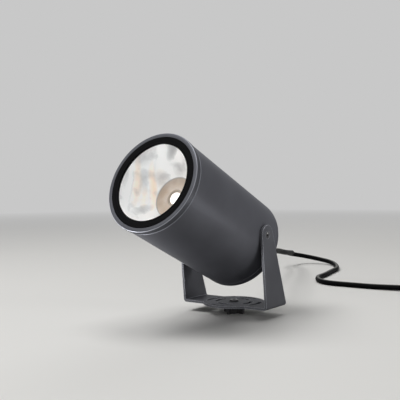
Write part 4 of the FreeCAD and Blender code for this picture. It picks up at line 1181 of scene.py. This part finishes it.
    def _light_source(self, finishes: Finishes) -> None:
        """Window and holder ring, and the plain pieces from the board to the mains cores."""
        stations = [(7.25, 89.5), (7.25, 90.2), (7.1, 90.4), (6.8, 90.5), (3.0, 90.5), (0, 90.5)]
        window = self._turned("light_window_dome", "led_emitter", stations, sides=64, closed=False)
        finish_piece(window, Body.HEAD, finishes.window)
        holder = cast_from_node("holder_ring", "led_holder", 0.0002)
        finish_piece(holder, Body.HEAD, finishes.holder)
        dress_nodes(led_board=finishes.board, thermal_pad=finishes.pad, heat_spreader=finishes.aluminium,
                    holder_screws=finishes.steel, spreader_screws=finishes.steel,
                    led_wires=finishes.led_wires, driver_tray=finishes.zinc, tray_screws=finishes.steel,
                    driver=finishes.driver, terminal_block=finishes.terminal, mains_cores=finishes.cores,
                    cable_inside=finishes.cable)

    def _gland(self, finishes: Finishes) -> None:
        """Cable gland, domed nut and the ribbed boot that the lead leaves by."""
        body = cast_from_node("gland_hexagon", "gland_body", 0.0003)
        finish_piece(body, Body.HEAD, finishes.gland)
        dress_nodes(gland_locknut=finishes.gland)
        finish_piece(self._dome_nut(), Body.HEAD, finishes.gland)
        finish_piece(self._boot(), Body.HEAD, finishes.boot)

    def _dome_nut(self) -> Piece:
        """Domed nut with flats in front and fine ribs on the dome.

        Returns:
            The nut.
        """
        corner = self.gland_flats / math.sqrt(3)
        rear, front = self.nut_rear, self.nut_front
        nothing_selected()
        bpy.ops.mesh.primitive_cylinder_add(vertices=48, radius=corner * MM, depth=(front - rear) * MM,
                                            location=(0, 0, (front + rear) / 2 * MM))
        nut = bpy.context.object
        nut.name = "gland_dome_nut"
        bpy.ops.object.transform_apply(location=True)
        pick_faces(nut, lambda face: face.normal.z < -0.9)
        with editing("FACE"):
            bpy.ops.transform.translate(value=(0, 0, 6.0 * MM))
            for share, step in ((0.90, -0.4), (0.97, -1.4), (0.94, -1.6), (0.88, -1.5), (0.80, -1.1)):
                bpy.ops.mesh.extrude_region_move(TRANSFORM_OT_translate={"value": (0, 0, step * MM)})
                bpy.ops.transform.resize(value=(share, share, 1), center_override=(0, 0, 0))
            bpy.ops.mesh.inset(thickness=0.9 * MM)
            bpy.ops.mesh.extrude_region_move(TRANSFORM_OT_translate={"value": (0, 0, 5.0 * MM)})
        for vertex in nut.data.vertices:
            radius = vertex.co.xy.length
            angle = math.atan2(vertex.co.y, vertex.co.x)
            flat = self.gland_flats / 2 * MM / math.cos((angle + math.pi / 6) % (math.pi / 3) - math.pi / 6)
            if vertex.co.z > (rear + 6.1 - 0.5) * MM:
                vertex.co.xy *= min(1.0, flat / radius)
            elif radius > 5.6 * MM and round(angle / (math.pi / 24)) % 2:
                vertex.co.xy *= 0.965
        bevel(nut, 0.25 * MM, 28.0)
        smooth(nut, 30.0)
        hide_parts("gland_nut")
        return self.placed(nut)

    def _boot(self) -> Piece:
        """Tapered boot whose tip is cut into flexing ribs.

        Returns:
            The boot.
        """
        rear, root = self.boot_rear, self.nut_rear
        stations = [(3.55, rear), (3.9, rear), (4.15, rear + 0.25)]
        ribs = 4
        pitch = (root - rear - 1.0) / ribs
        for index in range(ribs):
            base = rear + 0.4 + index * pitch
            size = 4.25 + 0.7 * (index + 0.5) / ribs
            stations += [(size, base + 0.2), (size, base + pitch * 0.55), (size - 0.5, base + pitch * 0.7),
                         (size - 0.5, base + pitch * 0.9)]
        stations += [(5.0, root - 0.3), (5.0, root + 6.0), (5.0, root + 13.5), (3.55, root + 13.5)]
        return self._turned("boot_ribbed", "strain_relief", stations, sides=48)


@dataclass
class SwivelBracket:
    """The folded U bracket with its coated edges."""

    edge: float = 0.35

    def build(self, finishes: Finishes) -> None:
        """Build and dress the bracket.

        Args:
            finishes: The finishes.
        """
        sheet = cast_from_node("bracket_folded", "bracket", self.edge * MM, crease=40.0)
        finish_piece(sheet, Body.BRACKET, finishes.sheet)


@dataclass
class GroundSpike:
    """The spike with its insert, bolt and washers."""

    edge: float = 0.4

    def build(self, finishes: Finishes) -> None:
        """Build and dress the spike.

        Args:
            finishes: The finishes.
        """
        blades = cast_from_node("spike_blades", "ground_spike", self.edge * MM, crease=40.0)
        finish_piece(blades, Body.SPIKE, finishes.spike)
        for node, edge in (("swivel_bolt", 0.12), ("swivel_washer", 0.15)):
            piece = cast_from_node(node + "_black", node, edge * MM)
            finish_piece(piece, Body.SPIKE, finishes.bolt)
        dress_nodes(swivel_friction_disc=finishes.fibre, spike_insert=finishes.brass)


@dataclass
class MainsLead:
    """The free rubber lead: its route to the ground, its put-away coil, its tie and its plug."""

    radius: float = 3.5
    tip: Point = (0.0, 35.566, 62.488)
    first_run: float = 18.0
    route: tuple[Point, ...] = (
        (-6, 82, 55), (-19, 120, 54), (-43, 167, 50), (-65, 227, 41), (-88, 283, 34), (-112, 337, 28),
        (-144, 373, 22), (-144, 416, 15), (-123, 435, 9), (-94, 432, 5), (-73, 408, 3.5), (-53, 369, 3.5),
        (-48, 338, 3.5), (-39, 300, 3.5), (-36, 264, 3.5), (-10, 229, 3.5), (29, 229, 3.5), (65, 230, 3.5))
    approach: float = 28.0
    coil_start: tuple[float, float] = (140.0, 240.0)
    coil_heading: float = 4.0
    coil_outer: float = 46.0
    coil_turns_in: float = 2.25
    coil_climb: float = 0.5
    coil_step: float = 7.7
    coil_layer: float = 7.6
    coil_floor: float = 4.55
    coil_straight: float = 7.0
    points_per_turn: int = 24
    bend_end: float = 100.0
    tie_width: float = 12.0
    plug_distance: float = 63.0
    plug_height: float = 19.0
    grip_length: float = 34.0
    contact_length: float = 26.0

    def build(self, finishes: Finishes) -> None:
        """Args:
            finishes: The finishes.
        """
        plug, contacts = self._plug(), self._contacts()
        pins = cast_from_node("plug_pins_nickel", "plug_pins", 0.0)
        tie = self._tie()
        for piece, slot, finish in ((plug, Slot.PLUG, finishes.plug), (contacts, Slot.STEEL, finishes.pins),
                                    (pins, Slot.STEEL, finishes.pins), (tie, Slot.TIE, finishes.strap)):
            finish_piece(piece, Body.BRACKET, finish)
        lead, path = self._lead()
        dress(lead, finishes.cable)
        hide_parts("cable_lead", "cable_run", "cable_coil", "cable_tail")
        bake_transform(lead)

    @staticmethod
    def _metres(point: Point) -> Point:
        """A point in metres."""
        return tuple(value * MM for value in point)

    def _coil_turns(self) -> float:
        """Count of turns in the coil."""
        return 2 * self.coil_turns_in + self.coil_climb

    def _coil_centre(self) -> Vector:
        """Centre of the coil, in millimetres."""
        heading = math.radians(self.coil_heading)
        left = Vector((-math.sin(heading), math.cos(heading), 0))
        return Vector((*self.coil_start, 0)) + left * self.coil_outer

    def _coil_radius(self, turn: float) -> float:
        """Radius of the coil after some turns: inwards, a soft reversal, outwards.

        Args:
            turn: Turns from the start.

        Returns:
            The radius in millimetres.
        """
        away = abs(turn - self._coil_turns() / 2)
        inner = self.coil_outer - self.coil_step * self.coil_turns_in
        if away >= self.coil_climb / 2:
            return inner + self.coil_step * (away - self.coil_climb / 2)
        return inner - self.coil_step * self.coil_climb / 4 + self.coil_step * away ** 2 / self.coil_climb

    def _coil_point(self, turn: float, swell: float = 1.0) -> Vector:
        """Point on the coil, two layers high.

        Args:
            turn: Turns from the start.
            swell: Factor on the radius.

        Returns:
            The point in millimetres.
        """
        part = min(1.0, max(0.0, (turn - self._coil_turns() / 2) / self.coil_climb + 0.5))
        height = self.coil_floor + self.coil_layer * part ** 2 * (3 - 2 * part)
        angle = math.radians(self.coil_heading - 90) + 2 * math.pi * turn
        radius = self._coil_radius(turn) * swell
        return self._coil_centre() + Vector((radius * math.cos(angle), radius * math.sin(angle), height))

    def _coil_way(self, turn: float) -> Vector:
        """Direction of the coil after some turns."""
        return (self._coil_point(turn + 0.0005) - self._coil_point(turn - 0.0005)).normalized()

    def _coil_exit(self) -> Vector:
        """End of the coil's outer straight, on the top layer."""
        turns = self._coil_turns()
        return self._coil_point(turns) + self._coil_way(turns) * self.coil_straight

    def _plug_way(self) -> Vector:
        """Level direction from the coil to the plug."""
        way = self._coil_way(self._coil_turns())
        return Vector((way.x, way.y, 0)).normalized()

    def _plug_entry(self) -> Vector:
        """Point where the lead enters the plug."""
        entry = self._coil_exit() + self._plug_way() * self.plug_distance
        return Vector((entry.x, entry.y, self.plug_height))

    def _route_points(self) -> list[Vector]:
        """Control points of the whole lead, in millimetres.

        Returns:
            The points from the boot's tip to the plug.
        """
        lift = math.radians(HEAD_ELEVATION)
        back = Vector((0, math.cos(lift), -math.sin(lift)))
        tip = Vector(self.tip)
        entry = self._coil_point(0) - self._coil_way(0) * self.coil_straight
        points = [tip, tip + back * self.first_run] + [Vector(point) for point in self.route]
        points += [entry - self._coil_way(0) * self.approach, entry]
        count = int(round(self._coil_turns() * self.points_per_turn))
        swell = 1 / math.cos(math.pi / self.points_per_turn)
        points += [self._coil_point((k + 0.5) / self.points_per_turn, swell) for k in range(count)]
        leave, way, plug = self._coil_exit(), self._plug_way(), self._plug_entry()
        third = self.plug_distance / 3
        return points + [leave, leave + way * third, plug - way * third, plug]

    def _lead(self) -> tuple[Piece, list[Point]]:
        """The lead as one smooth tube along its spline.

        Returns:
            The tube and the points that it follows, in metres.
        """
        curve = bpy.data.curves.new("lead_route", "CURVE")
        curve.dimensions = "3D"
        curve.resolution_u = 8
        spline = curve.splines.new("NURBS")
        points = self._route_points()
        spline.points.add(len(points) - 1)
        for knot, point in zip(spline.points, points):
            knot.co = (*(point * MM), 1.0)
        spline.order_u = 3
        spline.use_endpoint_u = True
        route = bpy.data.objects.new("rubber_lead", curve)
        link(route)
        line = bpy.data.meshes.new_from_object(route)
        path = [tuple(vertex.co) for vertex in line.vertices]
        bpy.data.meshes.remove(line)
        curve.bevel_depth = self.radius * MM
        curve.bevel_resolution = 4
        curve.use_fill_caps = True
        take_up(route)
        bpy.ops.object.convert(target="MESH")
        tube = bpy.context.object
        smooth(tube, 40.0)
        return tube, path

    def _tie(self) -> Piece:
        """Strap round the coil's turns, with rounded corners.

        Returns:
            The strap.
        """
        near = self._coil_radius(self._coil_turns() / 2) - self.radius - 1.0
        far = self._coil_radius(0.5) + self.radius + 1.0
        high = self.coil_floor + self.coil_layer + self.radius + 0.05
        half = self.tie_width / 2
        strap = block("coil_strap", (near, -half, 1.0), (far, half, high))
        pick_faces(strap, lambda face: abs(face.normal.y) > 0.9)
        with editing("FACE"):
            bpy.ops.mesh.delete(type="ONLY_FACE")
            bpy.ops.mesh.select_mode(type="EDGE")
            bpy.ops.mesh.select_all(action="DESELECT")
        for edge in strap.data.edges:
            first, second = (strap.data.vertices[k].co for k in edge.vertices)
            edge.select = abs(first.y - second.y) > self.tie_width * MM * 0.9
        with editing():
            bpy.ops.mesh.bevel(offset=3.2 * MM, segments=6, affect="EDGES")
        apply_modifier(strap, "SOLIDIFY", thickness=0.95 * MM, offset=1.0)
        bevel(strap, 0.25 * MM, 50.0)
        smooth(strap, 40.0)
        turn = Matrix.Rotation(math.radians(90 + self.coil_heading), 4, "Z")
        strap.data.transform(Matrix.Translation(self._coil_centre() * MM) @ turn)
        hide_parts("coil_tie")
        return strap

    def _at_plug(self, piece: Piece) -> Piece:
        """Move a piece from the Z axis to the plug's place.

        Args:
            piece: Piece drawn along Z from the lead's entry.

        Returns:
            The piece, its place in its mesh.
        """
        way = self._plug_way()
        turn = Matrix.Rotation(math.atan2(way.y, way.x), 4, "Z") @ Matrix.Rotation(math.pi / 2, 4, "Y")
        piece.data.transform(Matrix.Translation(self._plug_entry() * MM) @ turn)
        piece.data.update()
        return piece

    def _plug(self) -> Piece:
        """Moulded plug: ribbed neck, finger grip and round contact body with two side grooves.

        Returns:
            The plug.
        """
        grip, body = self.grip_length, self.grip_length + self.contact_length
        stations = [(0, 0), (4.4, 0), (4.9, 0.5)]
        for index in range(5):
            base = 1.5 + index * 2.6
            swell = 0.35 * index
            stations += [(5.0 + swell, base), (5.0 + swell, base + 1.3), (4.5 + swell, base + 1.5),
                         (4.5 + swell, base + 2.4)]
        stations += [(7.2, 15.5), (8.6, 20.0), (10.4, 25.0), (12.4, 28.5), (15.6, 31.5), (17.6, 33.2),
                     (18.5, 34.2), (18.95, 35.6), (19.0, 37.0), (19.0, body - 3.0), (18.9, body - 1.0),
                     (18.5, body - 0.3), (17.8, body), (10.0, body), (0, body)]
        plug = lathe("plug_moulding", stations, sides=72)
        pick_faces(plug, lambda face: (grip + 4.5) * MM < face.center.z < (body - 1.0) * MM
                   and abs(face.center.x) > 18.0 * MM)
        with editing("FACE"):
            bpy.ops.mesh.inset(thickness=0.5 * MM)
            bpy.ops.transform.resize(value=(0.93, 1, 1), center_override=(0, 0, 0))
        smooth(plug, 32.0)
        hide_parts("plug_body")
        return self._at_plug(plug)

    def _contacts(self) -> Piece:
        """Two earth springs in the plug's side grooves.

        Returns:
            Both springs as one piece.
        """
        low, high = self.grip_length + 6.0, self.grip_length + self.contact_length - 2.0
        spring = block("earth_springs", (-0.4, -2.5, low), (0.4, 2.5, high))
        with editing(everything=True):
            bpy.ops.mesh.subdivide(number_cuts=7)
        for vertex in spring.data.vertices:
            share = (vertex.co.z / MM - low) / (high - low)
            vertex.co.x += (17.6 + 0.7 * math.sin(math.pi * share)) * MM
        bevel(spring, 0.15 * MM, 50.0)
        other = spring.copy()
        other.data = spring.data.copy()
        link(other)
        other.data.transform(Matrix.Rotation(math.pi, 4, "Z"))
        take_up(spring)
        other.select_set(True)
        bpy.ops.object.join()
        smooth(spring, 35.0)
        return self._at_plug(spring)


@dataclass
class Studio:
    """Floor, backdrop, lamps and the camera at the photograph's viewing angle."""

    camera_place: Point = (0.42490, -0.64582, 0.14718)
    right: Point = (0.8093407, 0.5872747, -0.00872174)
    up: Point = (-0.01241681, 0.03195445, 0.9994122)
    back: Point = (0.58720819, -0.80875667, 0.03315412)
    focal_pixels: float = 721.92
    frame_pixels: float = 400.0
    sensor: float = 36.0
    background: Colour = srgb(200, 200, 200)
    floor_colour: Colour = srgb(226, 225, 222)
    floor_bounce: Colour = (0.14, 0.14, 0.14)
    world_light: float = 0.03
    fade_start: float = 0.7
    fade_end: float = 2.4
    aim: Point = (0.0, -0.05, 0.1)
    card_height: float = 0.002
    lamps: tuple[tuple[str, float, float, float, float, float], ...] = (
        ("front_right", -42.0, 20.0, 2.0, 1.0, 3.0),
        ("low_right", 15.0, 6.0, 2.0, 0.5, 7.0),
        ("front", -90.0, 15.0, 2.0, 1.0, 5.0),
        ("main_upper_left", -130.0, 60.0, 2.0, 1.0, 24.0),
        ("overhead", 0.0, 85.0, 2.0, 1.0, 12.0),
        ("rear", 110.0, 35.0, 2.0, 1.0, 5.0))
    cards: tuple[tuple[str, float, float, float, float], ...] = (
        ("ground_glow_right", 0.37, 0.08, 0.16, 0.24),
        ("ground_glow_near_right", 0.27, 0.03, 0.14, 0.18),
        ("ground_glow_front_left", -0.17, -0.27, 0.16, 1.4))

    def camera(self) -> None:
        """Set up the camera."""
        data = bpy.data.cameras.new("photograph_camera")
        data.sensor_width = self.sensor
        data.lens = self.focal_pixels / self.frame_pixels * self.sensor
        data.clip_start = 0.01
        camera = bpy.data.objects.new("photograph_camera", data)
        turn = Matrix((self.right, self.up, self.back)).transposed().to_4x4()
        camera.matrix_world = Matrix.Translation(self.camera_place) @ turn
        link(camera)
        bpy.context.scene.camera = camera

    @staticmethod
    def _seen(desk: NodeDesk) -> Socket:
        """Share that is 1 for camera, glossy and transmission rays.

        Args:
            desk: Desk of the tree.

        Returns:
            The share's socket.
        """
        rays = desk.add("ShaderNodeLightPath")
        bright = desk.math("MAXIMUM", rays.outputs["Is Glossy Ray"], rays.outputs["Is Transmission Ray"])
        return desk.math("MAXIMUM", rays.outputs["Is Camera Ray"], bright)

    def world(self) -> None:
        """Soft even world light, with a plain grey background for what the camera sees."""
        world = bpy.data.worlds.new("studio")
        bpy.context.scene.world = world
        world.use_nodes = True
        desk = NodeDesk(world.node_tree)
        light = world.node_tree.nodes["Background"]
        light.inputs["Color"].default_value = (0.95, 0.97, 1.0, 1.0)
        light.inputs["Strength"].default_value = self.world_light
        seen = desk.add("ShaderNodeBackground")
        seen.inputs["Color"].default_value = (*self.background, 1.0)
        desk.mix_shaders(self._seen(desk), light.outputs[0], seen.outputs[0],
                         world.node_tree.nodes["World Output"].inputs[0])

    def floor(self) -> None:
        """Plain pale floor at the ground's height, which runs into the backdrop far away."""
        nothing_selected()
        bpy.ops.mesh.primitive_plane_add(size=30.0, location=(0, 0, 0))
        floor = bpy.context.object
        floor.name = "studio_floor"
        material, desk, shader = start_material("pale floor", Roughness=0.9, Specular_IOR_Level=0.1)
        place, seen = desk.object_place(), self._seen(desk)
        pale = desk.blend(desk.noise(place, 2.0, 3.0), self.floor_colour, toned(self.floor_colour, 0.97))
        desk.join(desk.blend(seen, self.floor_bounce, pale), shader.inputs["Base Color"])
        far = desk.remap(desk.vector("LENGTH", place), self.fade_start, self.fade_end)
        backdrop = desk.add("ShaderNodeEmission")
        backdrop.inputs["Color"].default_value = (*self.background, 1.0)
        desk.mix_shaders(desk.math("MULTIPLY", far, seen), shader.outputs[0], backdrop.outputs[0],
                         material.node_tree.nodes["Material Output"].inputs[0])
        dress(floor, material)

    @staticmethod
    def _area(name: str, size: float, power: float, place: Matrix) -> None:
        """Add a square area lamp that the camera doesn't see.

        Args:
            name: Name of the lamp.
            size: Side of its square in metres.
            power: Its power in watts.
            place: Its place and turn.
        """
        data = bpy.data.lights.new(name, "AREA")
        data.size = size
        data.energy = power
        lamp = bpy.data.objects.new(name, data)
        lamp.visible_camera = False
        lamp.matrix_world = place
        link(lamp)

    def lamp(self, name: str, azimuth: float, elevation: float, reach: float, size: float,
             power: float) -> None:
        """Add one soft area lamp that faces the object.

        Args:
            name: Name of the lamp.
            azimuth: Its direction from the object, in degrees from +X towards +Y.
            elevation: Its height above the horizon, in degrees.
            reach: Its distance from the object in metres.
            size: Side of its square in metres.
            power: Its power in watts.
        """
        turn, lift = math.radians(azimuth), math.radians(elevation)
        way = Vector((math.cos(lift) * math.cos(turn), math.cos(lift) * math.sin(turn), math.sin(lift)))
        place = Matrix.Translation(Vector(self.aim) + way * reach)
        self._area(name, size, power, place @ (-way).to_track_quat("-Z", "Y").to_matrix().to_4x4())

    def card(self, name: str, across: float, along: float, size: float, power: float) -> None:
        """Lay a glowing square on the ground, in place of pale ground that throws light up.

        Args:
            name: Name of the card.
            across: Its place along X in metres.
            along: Its place along Y in metres.
            size: Side of its square in metres.
            power: Its power in watts.
        """
        place = Matrix.Translation((across, along, self.card_height))
        self._area(name, size, power, place @ Matrix.Rotation(math.pi, 4, "X"))

    def build(self) -> None:
        """Set up everything round the lamp but the camera."""
        bpy.context.scene.view_settings.view_transform = "Standard"
        self.world()
        self.floor()
        for lamp in self.lamps:
            self.lamp(*lamp)
        for card in self.cards:
            self.card(*card)


def main() -> None:
    """Build the scene in order."""
    logging.basicConfig(level=logging.INFO, format="%(name)s: %(message)s")
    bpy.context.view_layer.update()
    studio = Studio()
    studio.camera()
    finishes = Finishes()
    MainsLead().build(finishes)
    LampHead().build(finishes)
    SwivelBracket().build(finishes)
    GroundSpike().build(finishes)
    studio.build()


if __name__ == "__main__":
    main()
